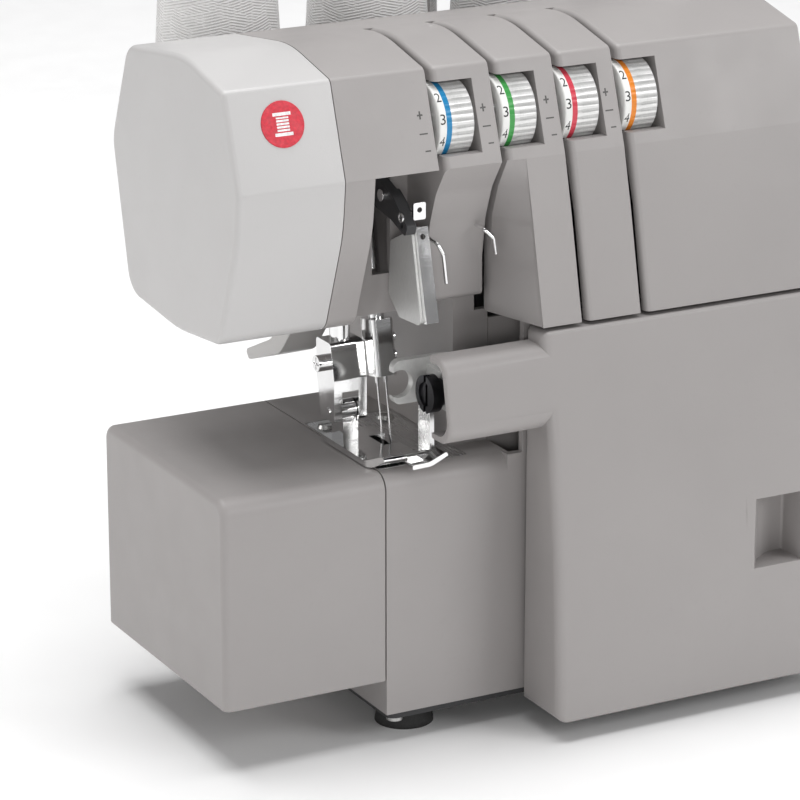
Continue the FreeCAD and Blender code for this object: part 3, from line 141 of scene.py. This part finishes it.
class Shader:
    """A material's node tree with a few short ways to add to it."""

    def __init__(self, name):
        self.material = bpy.data.materials.new(name)
        self.material.use_nodes = True
        self.tree = self.material.node_tree
        self.bsdf = self.tree.nodes["Principled BSDF"]
        self.coordinates = self.add("ShaderNodeTexCoord").outputs["Object"]

    def add(self, kind, **settings):
        """New node of a kind, with its settings."""
        node = self.tree.nodes.new(kind)
        for key, value in settings.items():
            setattr(node, key, value)
        return node

    def link(self, source, target):
        """Join an output to an input."""
        self.tree.links.new(source, target)

    def scaled(self, scale):
        """Object coordinates stretched by scale along each axis."""
        mapping = self.add("ShaderNodeMapping")
        mapping.inputs["Scale"].default_value = scale
        self.link(self.coordinates, mapping.inputs["Vector"])
        return mapping.outputs["Vector"]

    def noise(self, scale, detail=3.0, vector=None, roughness=0.55):
        """Noise in object coordinates, or along another vector."""
        node = self.add("ShaderNodeTexNoise")
        node.inputs["Scale"].default_value = scale
        node.inputs["Detail"].default_value = detail
        node.inputs["Roughness"].default_value = roughness
        self.link(vector or self.coordinates, node.inputs["Vector"])
        return node.outputs["Fac"]

    def math(self, operation, first, second=None):
        """One step of arithmetic on numbers or outputs."""
        node = self.add("ShaderNodeMath", operation=operation)
        for socket, value in zip(node.inputs, (first, second)):
            if value is None:
                continue
            if isinstance(value, (int, float)):
                socket.default_value = value
            else:
                self.link(value, socket)
        return node.outputs[0]

    def spread(self, value, low, high, start=0.3, end=0.7):
        """Map value from start..end to low..high."""
        node = self.add("ShaderNodeMapRange")
        node.inputs["From Min"].default_value = start
        node.inputs["From Max"].default_value = end
        node.inputs["To Min"].default_value = low
        node.inputs["To Max"].default_value = high
        self.link(value, node.inputs["Value"])
        return node.outputs["Result"]

    def mix(self, factor, first, second):
        """Mix two colours, or two colour outputs, by factor."""
        node = self.add("ShaderNodeMix", data_type="RGBA")
        if isinstance(factor, (int, float)):
            node.inputs["Factor"].default_value = factor
        else:
            self.link(factor, node.inputs["Factor"])
        for socket, value in ((node.inputs["A"], first), (node.inputs["B"], second)):
            if isinstance(value, tuple):
                socket.default_value = (*value, 1)
            else:
                self.link(value, socket)
        return node.outputs["Result"]

    def bump(self, height, strength, distance):
        """Add a bump on top of those already there."""
        node = self.add("ShaderNodeBump")
        node.inputs["Strength"].default_value = strength
        node.inputs["Distance"].default_value = distance
        self.link(height, node.inputs["Height"])
        if self.bsdf.inputs["Normal"].is_linked:
            self.link(self.bsdf.inputs["Normal"].links[0].from_socket, node.inputs["Normal"])
        self.link(node.outputs["Normal"], self.bsdf.inputs["Normal"])

    def set(self, **values):
        """Set or link surface inputs, with _ for the spaces in their names."""
        for key, value in values.items():
            socket = self.bsdf.inputs[key.replace("_", " ")]
            if isinstance(value, (int, float)):
                socket.default_value = value
            elif isinstance(value, tuple):
                socket.default_value = (*value, 1)
            else:
                self.link(value, socket)


def shade(colour, factor):
    """Colour made lighter or darker."""
    return tuple(min(1.0, channel * factor) for channel in colour)


def moulded_plastic(name, colour, roughness=0.42, grain=1500.0, depth=0.00006, mottle=0.04):
    """Injection-moulded plastic: fine spark texture, slight mottle and uneven gloss."""
    shader = Shader(name)
    cloud = shader.noise(9.0, 4.0)
    tone = shader.mix(shader.spread(cloud, 0.0, 1.0), shade(colour, 1 - mottle),
                      shade(colour, 1 + mottle))
    dust = shader.spread(shader.noise(420.0, 2.0), 0.0, 0.35, 0.62, 0.8)
    shader.set(Base_Color=shader.mix(dust, tone, shade(colour, 0.93)),
               Roughness=shader.spread(shader.noise(55.0, 5.0), roughness - 0.05,
                                       roughness + 0.06),
               Specular_IOR_Level=0.45)
    shader.bump(shader.noise(grain, 2.0, roughness=0.6), 0.35, depth)
    shader.bump(shader.noise(14.0, 1.0), 0.10, 0.0008)
    return shader.material


def worked_metal(name, colour, roughness=0.2, stretch=(40.0, 40.0, 900.0), scratch=0.00002):
    """Metal with fine tool marks along one direction, smudges and small nicks."""
    shader = Shader(name)
    marks = shader.noise(6.0, 6.0, shader.scaled(stretch))
    smudge = shader.noise(60.0, 5.0)
    tone = shader.mix(shader.spread(smudge, 0.0, 1.0), shade(colour, 0.90), colour)
    rough = shader.math("ADD", shader.spread(marks, roughness * 0.75, roughness * 1.25),
                        shader.spread(smudge, 0.0, 0.08, 0.5, 0.8))
    shader.set(Base_Color=tone, Roughness=rough, Metallic=1.0)
    shader.bump(marks, 0.3, scratch)
    return shader.material


def satin_metal(name, colour):
    """Bead-blasted and plated sheet: pale and evenly dull, with faint rolling marks."""
    shader = Shader(name)
    grain = shader.noise(1200.0, 3.0)
    marks = shader.noise(7.0, 5.0, shader.scaled((60.0, 900.0, 60.0)))
    shader.set(Base_Color=shader.mix(shader.spread(marks, 0.0, 1.0), shade(colour, 0.92),
                                     shade(colour, 1.06)),
               Roughness=shader.spread(grain, 0.38, 0.5), Metallic=0.45)
    shader.bump(grain, 0.2, 0.00003)
    return shader.material


def cast_metal(name, colour):
    """Sand-cast aluminium with a grainy skin."""
    shader = Shader(name)
    grain = shader.noise(700.0, 4.0)
    shader.set(Base_Color=shader.mix(shader.spread(shader.noise(30.0, 4.0), 0.0, 1.0),
                                     shade(colour, 0.8), colour),
               Roughness=shader.spread(grain, 0.5, 0.7), Metallic=0.85)
    shader.bump(grain, 0.5, 0.0002)
    return shader.material


def rubber(name, colour):
    """Dull moulded rubber with a fine grain."""
    shader = Shader(name)
    grain = shader.noise(1800.0, 3.0)
    shader.set(Base_Color=shader.mix(shader.spread(shader.noise(80.0), 0.0, 1.0), colour,
                                     shade(colour, 1.8)),
               Roughness=shader.spread(grain, 0.75, 0.92))
    shader.bump(grain, 0.5, 0.0001)
    return shader.material


def frosted_lens(name):
    """Ribbed clear lens of the work lamp."""
    shader = Shader(name)
    ribs = shader.add("ShaderNodeTexWave", wave_type="BANDS", bands_direction="X")
    ribs.inputs["Scale"].default_value = 160.0
    shader.link(shader.coordinates, ribs.inputs["Vector"])
    shader.set(Base_Color=shader.mix(shader.spread(shader.noise(90.0), 0.0, 1.0),
                                     (0.85, 0.87, 0.85), (0.95, 0.95, 0.93)),
               Roughness=shader.spread(shader.noise(600.0), 0.18, 0.32),
               Transmission_Weight=0.55, IOR=1.49)
    shader.bump(ribs.outputs["Fac"], 0.5, 0.0003)
    return shader.material


def step_mask(shader, value, low, high):
    """1 where low < value < high, else 0."""
    return shader.math("MULTIPLY", shader.math("GREATER_THAN", value, low),
                       shader.math("LESS_THAN", value, high))


def dial_material(name, left, stripe):
    """Dial in one moulding: white number band, coloured stripe and silvery drum, by distance."""
    shader = Shader(name)
    axis = shader.add("ShaderNodeSeparateXYZ")
    shader.link(shader.coordinates, axis.inputs["Vector"])
    x = axis.outputs["X"]
    in_stripe = step_mask(shader, x, left + BAND_WIDTH, left + STRIPE_END)
    in_drum = step_mask(shader, x, left + STRIPE_END, left + DRUM_END)
    brushed = shader.noise(9.0, 5.0, shader.scaled((900.0, 60.0, 60.0)))
    silver = shader.mix(shader.spread(brushed, 0.0, 1.0), (0.70, 0.70, 0.69),
                        (0.84, 0.84, 0.83))
    white = shader.mix(shader.spread(shader.noise(200.0), 0.0, 1.0), (0.80, 0.80, 0.78),
                       (0.88, 0.88, 0.86))
    colour = shader.mix(in_stripe, shader.mix(in_drum, white, silver), stripe)
    shader.set(Base_Color=colour, Roughness=shader.spread(brushed, 0.28, 0.40),
               Metallic=shader.math("MULTIPLY", in_drum, 0.35))
    shader.bump(brushed, 0.15, 0.00004)
    return shader.material


def yarn_material(name):
    """White polyester yarn, cross wound: two families of helices and fine fibre fuzz; the colour
    is darker in the hollows of the winding, which is painted shade.
    """
    shader = Shader(name)
    axis = shader.add("ShaderNodeSeparateXYZ")
    shader.link(shader.coordinates, axis.inputs["Vector"])
    angle = shader.math("ARCTAN2", axis.outputs["Y"], axis.outputs["X"])
    climb = shader.math("MULTIPLY", axis.outputs["Z"], 2 * math.pi / YARN_PITCH)
    waves = []
    for turns in (YARN_STARTS, -YARN_STARTS):
        phase = shader.math("ADD", shader.math("MULTIPLY", angle, turns), climb)
        waves.append(shader.math("SINE", phase))
    layer = shader.spread(shader.noise(130.0, 2.0), 0.0, 1.0, 0.42, 0.58)
    weave_and_shade = shader.math("ADD", shader.math("MULTIPLY", waves[0], layer),
                        shader.math("MULTIPLY", waves[1],
                                    shader.math("SUBTRACT", 1.0, layer)))
    fibre = shader.noise(2600.0, 2.0)
    # painted shade: the base colour darkens where the winding dips, following the same pattern
    # as its bump
    shader.set(Base_Color=shader.mix(shader.spread(weave_and_shade, 0.0, 1.0, -1.0, 0.6),
                                     (0.62, 0.61, 0.60), (0.86, 0.855, 0.85)),
               Roughness=shader.spread(fibre, 0.62, 0.85), Sheen_Weight=0.35)
    shader.bump(weave_and_shade, 0.7, 0.00025)
    shader.bump(fibre, 0.3, 0.00008)
    return shader.material


def printed_ink(name, colour):
    """Tampo-printed ink with slightly uneven cover; the black one also serves as painted shade.
    """
    shader = Shader(name)
    shader.set(Base_Color=shader.mix(shader.spread(shader.noise(900.0, 3.0), 0.0, 1.0),
                                     shade(colour, 0.8), shade(colour, 1.15)),
               Roughness=shader.spread(shader.noise(500.0), 0.35, 0.55))
    return shader.material


def floor_material():
    """Matt white paper, faintly uneven."""
    shader = Shader("floor_paper")
    shader.set(Base_Color=shader.mix(shader.spread(shader.noise(3.0, 5.0), 0.0, 1.0),
                                     (0.91, 0.91, 0.91), (0.94, 0.94, 0.94)),
               Roughness=shader.spread(shader.noise(40.0), 0.5, 0.65))
    shader.bump(shader.noise(600.0), 0.08, 0.0002)
    return shader.material


# ------------------------------------------------------------------ finishes of the CAD nodes

GREY = (0.338, 0.320, 0.315)
WHITE = (0.535, 0.527, 0.524)

FINISHES = {
    "casing_grey": moulded_plastic("casing_grey", GREY),
    "face_white": moulded_plastic("face_white", WHITE, roughness=0.36, mottle=0.02),
    "dark_plastic": moulded_plastic("dark_plastic", (0.035, 0.035, 0.037), roughness=0.5),
    "light_plastic": moulded_plastic("light_plastic", (0.60, 0.59, 0.58), roughness=0.4),
    "rubber": rubber("rubber", (0.02, 0.02, 0.02)),
    "screw_steel": worked_metal("screw_steel", (0.62, 0.62, 0.61), roughness=0.28),
    "chrome": worked_metal("chrome", (0.86, 0.86, 0.86), roughness=0.10),
    "plate_steel": worked_metal("plate_steel", (0.72, 0.72, 0.72), roughness=0.24,
                                stretch=(700.0, 30.0, 30.0)),
    "silver_metal": satin_metal("silver_metal", (0.62, 0.62, 0.61)),
    "black_steel": worked_metal("black_steel", (0.05, 0.05, 0.055), roughness=0.34),
    "cast_frame": cast_metal("cast_frame", (0.55, 0.55, 0.56)),
    "bronze": worked_metal("bronze", (0.55, 0.38, 0.18), roughness=0.35),
    "lamp_clear": frosted_lens("lamp_clear"),
    "dial_silver": moulded_plastic("dial_silver", (0.75, 0.75, 0.74), roughness=0.32),
    "thread_white": yarn_material("thread_white"),
}

# black print of the dial numbers, and also the painted shade in the rear vents and screw
# recesses
BLACK_PRINT_AND_SHADE = printed_ink("black_print_and_painted_shade", (0.015, 0.015, 0.016))
GREY_INK = printed_ink("grey_ink", (0.075, 0.072, 0.07))
BADGE_RED = printed_ink("badge_red", (0.62, 0.022, 0.045))
BADGE_WHITE = printed_ink("badge_white", (0.85, 0.85, 0.85))

# width of the soft edges of each slot, in mm
SOFT_EDGES = {"casing_grey": 0.6, "face_white": 0.5, "dark_plastic": 0.35, "light_plastic": 0.5,
              "chrome": 0.25, "plate_steel": 0.15, "silver_metal": 0.2, "black_steel": 0.2,
              "screw_steel": 0.15}
SHARP_TURN = math.radians(28)          # edges that turn more than this are rounded
FLAT_TURN = math.radians(0.4)          # facets that turn less than this are merged
WELD_REACH = 0.002 * MM


def soften(node, width):
    """Round a CAD node's sharp edges by width, with shading that follows the flats."""
    weld = node.modifiers.new("weld", "WELD")
    weld.merge_threshold = WELD_REACH
    flats = node.modifiers.new("flats", "DECIMATE")
    flats.decimate_type = "DISSOLVE"
    flats.angle_limit = FLAT_TURN
    bevel = node.modifiers.new("edges", "BEVEL")
    bevel.limit_method = "ANGLE"
    bevel.angle_limit = SHARP_TURN
    bevel.width = width
    bevel.segments = 2
    bevel.harden_normals = True


def finish_node(name, material, slot):
    """Give a CAD node its material and smooth shading."""
    node = NODES[name]
    mesh = node.data
    if "custom_normal" in mesh.attributes:
        mesh.attributes.remove(mesh.attributes["custom_normal"])
    mesh.materials.clear()
    mesh.materials.append(material)
    mesh.polygons.foreach_set("use_smooth", [True] * len(mesh.polygons))
    width = SOFT_EDGES.get(slot)
    if width:
        soften(node, width * MM)
    else:
        node.modifiers.new("sharp", "WELD").merge_threshold = WELD_REACH


def finish_nodes():
    """Give every CAD node the finish of its slot."""
    for part in frame["record"]["subparts"]:
        finish_node(part["node"], FINISHES[part["material_slot"]], part["material_slot"])


# ------------------------------------------------------------------ pieces made here

def add_piece(name, mesh, material, body, slot, *replaced):
    """Show a mesh drawn in the row frame as a piece that rides on a CAD body."""
    mesh.materials.clear()
    mesh.materials.append(material)
    piece = bpy.data.objects.new(name, mesh)
    bpy.context.scene.collection.objects.link(piece)
    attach(piece, body)
    if replaced:
        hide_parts(*replaced)
    return piece


def mesh_from(name, build):
    """Mesh of a bmesh that build fills in."""
    work = bmesh.new()
    build(work)
    mesh = bpy.data.meshes.new(name)
    work.to_mesh(mesh)
    work.free()
    return mesh


def bevel_edges(piece, width, segments=2):
    """Round the sharp edges of a piece made here."""
    edge = piece.modifiers.new("edge", "BEVEL")
    edge.width = width
    edge.segments = segments
    edge.limit_method = "ANGLE"


def on_surface(node, x, z, way=1):
    """Point and frame where a ray along Y at x, z meets a CAD node, from the front or back."""
    hit, point, normal, _ = NODES[node].ray_cast(Vector((x, -way, z)), Vector((0, way, 0)))
    if not hit:
        raise RuntimeError(f"no surface of {node} at {x:.4f}, {z:.4f}")
    across = Vector((way, 0, 0))
    up = normal.cross(across).normalized()
    frame_matrix = Matrix((across, up, normal)).transposed().to_4x4()
    return Matrix.Translation(point) @ frame_matrix


def prism(work, outline, base, top, transform=Matrix.Identity(4)):
    """Add a straight prism over a plan outline between two heights."""
    rings = [[work.verts.new(transform @ Vector((u, v, height))) for u, v in outline]
             for height in (base, top)]
    count = len(outline)
    for i in range(count):
        j = (i + 1) % count
        work.faces.new((rings[0][i], rings[0][j], rings[1][j], rings[1][i]))
    work.faces.new(rings[1])
    work.faces.new(rings[0][::-1])


def circle_points(radius, count):
    """Circle outline about the origin."""
    return [(radius * math.cos(2 * math.pi * i / count),
             radius * math.sin(2 * math.pi * i / count)) for i in range(count)]


def rectangle_points(u0, u1, v0, v1):
    """Rectangle outline, given in millimetres."""
    return [(u * MM, v * MM) for u, v in ((u0, v0), (u1, v0), (u1, v1), (u0, v1))]


def lathe(work, profile, steps):
    """Turn a (radius, height) profile about the local Z axis."""
    rings = []
    for radius, height in profile:
        rings.append([work.verts.new((radius * math.cos(2 * math.pi * i / steps),
                                      radius * math.sin(2 * math.pi * i / steps),
                                      height)) for i in range(steps)])
    for lower, upper in zip(rings, rings[1:]):
        for i in range(steps):
            j = (i + 1) % steps
            work.faces.new((lower[i], lower[j], upper[j], upper[i]))


# ------------------------------------------------------------------ tension dials

# colour of each dial's stripe
DIALS = {
    "one": (0.01, 0.22, 0.46),
    "two": (0.05, 0.32, 0.07),
    "three": (0.62, 0.05, 0.08),
    "four": (0.78, 0.24, 0.02),
}
DIGIT_HEIGHT = 3.9 * MM
DIGIT_WIDTH = 2.1 * MM
DIGIT_STEP = math.radians(33)
FRONT_READING = 3.4                    # reading that faces the front
INK_LIFT = 0.03 * MM
MARK_DEPTH = 0.02 * MM                 # above and below the casing's face
MARK_LAYER = 0.01 * MM                 # each stroke that crosses another lies this much higher

# plus, long dash and short dash: place from the dial's left side and middle, and outlines, in mm
DIAL_MARKS = [
    (-6.7, 5.3, [rectangle_points(-1.15, 1.15, -0.32, 0.32),
                 rectangle_points(-0.32, 0.32, -1.5, 1.5)]),
    (-6.2, -1.3, [rectangle_points(-1.7, 1.7, -0.26, 0.26)]),
    (-5.4, -7.4, [rectangle_points(-1.15, 1.15, -0.26, 0.26)]),
]


def digit_shape(character):
    """Flat outline mesh of one digit, centred and scaled to the printed size."""
    curve = bpy.data.curves.new(f"digit_{character}", "FONT")
    curve.body = character
    curve.resolution_u = 3
    text = bpy.data.objects.new(f"digit_{character}", curve)
    bpy.context.scene.collection.objects.link(text)
    bpy.context.view_layer.update()
    evaluated = text.evaluated_get(bpy.context.evaluated_depsgraph_get())
    mesh = evaluated.to_mesh()
    points = [vertex.co.copy() for vertex in mesh.vertices]
    faces = [tuple(face.vertices) for face in mesh.polygons]
    evaluated.to_mesh_clear()
    bpy.data.objects.remove(text)
    bpy.data.curves.remove(curve)
    low = [min(p[i] for p in points) for i in (0, 1)]
    high = [max(p[i] for p in points) for i in (0, 1)]
    flat = [((p.x - (low[0] + high[0]) / 2) / (high[0] - low[0]) * DIGIT_WIDTH,
             (p.y - (low[1] + high[1]) / 2) / (high[1] - low[1]) * DIGIT_HEIGHT)
            for p in points]
    return flat, faces


def print_digits(work, left, axis, radius):
    """Digits 0 to 9 wrapped round a dial's number band."""
    for value in range(10):
        flat, faces = digit_shape(str(value))
        turn = math.pi + DIGIT_STEP * (value - FRONT_READING)
        verts = []
        for u, v in flat:
            angle = turn - v / radius
            verts.append(work.verts.new((left + BAND_WIDTH / 2 + u,
                                         axis[0] + radius * math.cos(angle),
                                         axis[1] + radius * math.sin(angle))))
        for face in faces:
            work.faces.new([verts[i] for i in face])


def finish_dials():
    """Colour the tension dials and print their numbers."""
    for name, stripe in DIALS.items():
        node = f"tension_dial_{name}"
        low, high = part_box(node)
        material = dial_material(f"dial_{name}", low.x, stripe)
        NODES[node].data.materials.clear()
        NODES[node].data.materials.append(material)
        radius = (high.z - low.z) / 2 + INK_LIFT
        axis = ((low.y + high.y) / 2, (low.z + high.z) / 2)
        digits = mesh_from(f"dial_numbers_{name}",
                           lambda work: print_digits(work, low.x, axis, radius))
        add_piece(f"dial_numbers_{name}", digits, BLACK_PRINT_AND_SHADE, f"dial_{name}", "dial_silver")


def print_marks():
    """Plus, long and short dashes beside each dial, printed on the front casing."""
    def build(work):
        for name in DIALS:
            low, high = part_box(f"tension_dial_{name}")
            middle = (low.z + high.z) / 2
            for x, z, shapes in DIAL_MARKS:
                place = on_surface("upper_front_casing", low.x + x * MM, middle + z * MM)
                for layer, shape in enumerate(shapes):
                    prism(work, shape, -MARK_DEPTH, MARK_DEPTH + MARK_LAYER * layer, place)
    add_piece("casing_marks", mesh_from("casing_marks", build), GREY_INK, "root", "dark_plastic")


# ------------------------------------------------------------------ badge on the face cover

BADGE_SPOT = (21.9 * MM, 19.6 * MM)     # from the face cover's left side, and below its top
BADGE_RADIUS = 8.6 * MM
BADGE_STEPS = 72
SPOOL_FLANGES = [(-4.3, -3.1), (3.1, 4.3)]                 # heights, in mm
SPOOL_THREADS = [(-2.6, -1.85), (-1.45, -0.7), (-0.3, 0.45), (0.85, 1.6), (2.0, 2.6)]


def add_badge():
    """Plain red disc with a white thread spool."""
    low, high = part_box("face_cover")
    place = on_surface("face_cover", low.x + BADGE_SPOT[0], high.z - BADGE_SPOT[1])

    def disc(work):
        prism(work, circle_points(BADGE_RADIUS, BADGE_STEPS), -0.2 * MM, 0.35 * MM, place)

    def spool(work):
        for half_width, bars in ((3.6, SPOOL_FLANGES), (2.5, SPOOL_THREADS)):
            for low_edge, high_edge in bars:
                bar = rectangle_points(-half_width, half_width, low_edge, high_edge)
                prism(work, bar, 0.3 * MM, 0.4 * MM, place)

    face = add_piece("badge_disc", mesh_from("badge_disc", disc), BADGE_RED, "root",
                     "dark_plastic")
    bevel_edges(face, 0.2 * MM, 3)
    add_piece("badge_spool", mesh_from("badge_spool", spool), BADGE_WHITE, "root", "face_white")


# ------------------------------------------------------------------ thread cones

CONES = 4
CONE_STEPS = 96
CONE_TAPER = 18.5 / 25.5               # radius at the top over radius at the foot
SHOULDER_STEPS = 6
SIDE_STEPS = 40


def cone_profile(height, wide, narrow):
    """(radius, height) outline of a wound cone with soft shoulders, on a moulded core."""
    core = narrow * 0.45
    foot = 5.0 * MM
    head = height - 6.0 * MM
    shoulder = 3.0 * MM
    yarn = [(core + 1.5 * MM, 0.0), (wide * 0.93, 0.0), (wide * 0.95, foot * 0.5),
            (wide * 0.90, foot)]
    for i in range(SHOULDER_STEPS + 1):
        angle = math.pi / 2 * i / SHOULDER_STEPS
        yarn.append((wide - shoulder * (1 - math.sin(angle)),
                     foot + shoulder * (1 - math.cos(angle))))
    for i in range(1, SIDE_STEPS):
        share = i / SIDE_STEPS
        bulge = 0.35 * MM * math.sin(math.pi * share)
        yarn.append((wide + (narrow - wide) * share + bulge,
                     foot + shoulder + (head - foot - 2 * shoulder) * share))
    for i in range(SHOULDER_STEPS + 1):
        angle = math.pi / 2 * i / SHOULDER_STEPS
        yarn.append((narrow - shoulder * (1 - math.cos(angle)),
                     head - shoulder * (1 - math.sin(angle))))
    yarn += [(core + 1.2 * MM, head - 0.6 * MM), (core + 1.0 * MM, height),
             (core, height), (core, 0.0), (core + 1.5 * MM, 0.0)]
    return yarn


def add_cones():
    """Four wound cones in place of the plain CAD cones."""
    low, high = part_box("thread_cones")
    wide = (high.y - low.y) / 2
    narrow = wide * CONE_TAPER
    centre_y = (low.y + high.y) / 2
    step = (high.x - low.x - 2 * wide) / (CONES - 1)
    for i in range(CONES):
        mesh = mesh_from(f"yarn_cone_{i + 1}", lambda work: lathe(
            work, cone_profile(high.z - low.z, wide, narrow), CONE_STEPS))
        mesh.polygons.foreach_set("use_smooth", [True] * len(mesh.polygons))
        mesh.materials.append(FINISHES["thread_white"])
        cone = bpy.data.objects.new(f"yarn_cone_{i + 1}", mesh)
        cone.location = (low.x + wide + step * i, centre_y, low.z)
        bpy.context.scene.collection.objects.link(cone)
        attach(cone, "cones")
        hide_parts("thread_cones")


# ------------------------------------------------------------------ small bright fittings

TAKE_UP_EYELET = Vector((-0.1, 4.4, 6.2)) * MM             # from the lever's low corner
TAKE_UP_SCREW = Vector((-0.1, 19.0, 11.6)) * MM

VENTS = 10
VENT_START = 100 * MM                  # from the rear casing's left side
VENT_PITCH = 7.5 * MM
VENT_HEIGHT = 84 * MM
VENT_HALF_LENGTH = 15 * MM
VENT_RIM_RADIUS = 2.3 * MM
VENT_GAP_RADIUS = 1.5 * MM
# each screw's distance from the same side, and its height, in mm
REAR_SCREWS = [(66, 26), (66, 150), (192, 26), (192, 196)]
SCREW_STEPS = 40


def ring(work, place, radius, wire, turns=32, sides=12):
    """Add a round wire ring in the local XY plane of place."""
    loops = []
    for i in range(turns):
        turn = 2 * math.pi * i / turns
        loops.append([])
        for j in range(sides):
            roll = 2 * math.pi * j / sides
            reach = radius + wire * math.cos(roll)
            loops[-1].append(work.verts.new(place @ Vector(
                (reach * math.cos(turn), reach * math.sin(turn), wire * math.sin(roll)))))
    for i in range(turns):
        for j in range(sides):
            a, b = loops[i], loops[(i + 1) % turns]
            k = (j + 1) % sides
            work.faces.new((a[j], b[j], b[k], a[k]))


def add_take_up_fittings():
    """Polished thread eyelet and screw head on the black take-up lever."""
    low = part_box("take_up_lever")[0]
    sideways = Matrix.Rotation(math.radians(-90), 4, "Y")

    def build(work):
        ring(work, Matrix.Translation(low + TAKE_UP_EYELET) @ sideways, 1.5 * MM, 0.45 * MM)
        place = Matrix.Translation(low + TAKE_UP_SCREW) @ sideways
        prism(work, circle_points(2.3 * MM, SCREW_STEPS), -0.3 * MM, 1.1 * MM, place)

    mesh = mesh_from("take_up_fittings", build)
    fittings = add_piece("take_up_fittings", mesh, FINISHES["chrome"], "take_up", "chrome")
    bevel_edges(fittings, 0.25 * MM)


def slot_points(half_length, radius, steps=10):
    """Upright slot outline with round ends."""
    points = []
    for side in (1, -1):
        for i in range(steps + 1):
            angle = math.pi * i / steps + (0 if side == 1 else math.pi)
            points.append((radius * math.cos(angle),
                           side * half_length + radius * math.sin(angle)))
    return points


def add_rear_fittings():
    """Vents and cross-head screws on the back of the rear casing; their dark openings, recesses
    and cross slots are painted shade, flat black sheets.
    """
    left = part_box("rear_casing")[0].x
    vents = [on_surface("rear_casing", left + VENT_START + VENT_PITCH * i, VENT_HEIGHT, -1)
             for i in range(VENTS)]
    screws = [on_surface("rear_casing", left + x * MM, z * MM, -1) for x, z in REAR_SCREWS]

    def rims(work):
        outer = slot_points(VENT_HALF_LENGTH, VENT_RIM_RADIUS)
        inner = slot_points(VENT_HALF_LENGTH, VENT_GAP_RADIUS)
        heights = ((outer, -0.2), (outer, 0.5), (inner, 0.5), (inner, -0.2))
        for place in vents:
            loops = [[work.verts.new(place @ Vector((u, v, height * MM)))
                      for u, v in points] for points, height in heights]
            for a, b in zip(loops, loops[1:]):
                for j in range(len(a)):
                    k = (j + 1) % len(a)
                    work.faces.new((a[j], a[k], b[k], b[j]))

    # painted shade: flat black sheets stand in for the dark vent openings, the recesses round
    # the screw heads and the screws' cross slots
    def gaps(work):
        for place in vents:
            outline = slot_points(VENT_HALF_LENGTH, VENT_GAP_RADIUS + 0.05 * MM)
            prism(work, outline, -0.1 * MM, 0.04 * MM, place)
        for place in screws:
            prism(work, circle_points(4.3 * MM, SCREW_STEPS), -0.1 * MM, 0.04 * MM, place)
            for bar in (rectangle_points(-1.9, 1.9, -0.4, 0.4),
                        rectangle_points(-0.4, 0.4, -1.9, 1.9)):
                prism(work, bar, 0.9 * MM, 1.12 * MM, place)

    def heads(work):
        for place in screws:
            prism(work, circle_points(3.3 * MM, SCREW_STEPS), -0.2 * MM, 1.1 * MM, place)

    for name, build, slot in (("vent_rims", rims, "casing_grey"),
                              ("rear_screw_heads", heads, "screw_steel")):
        piece = add_piece(name, mesh_from(name, build), FINISHES[slot], "root", slot)
        bevel_edges(piece, 0.2 * MM)
    # painted shade in the vents and screw recesses, in the black print material
    add_piece("vent_and_screw_shade", mesh_from("vent_and_screw_shade", gaps), BLACK_PRINT_AND_SHADE, "root", "dark_plastic")


# ------------------------------------------------------------------ the scene

make_camera()
make_studio()
finish_nodes()
finish_dials()
print_marks()
add_badge()
add_cones()
add_take_up_fittings()
add_rear_fittings()
add_floor()
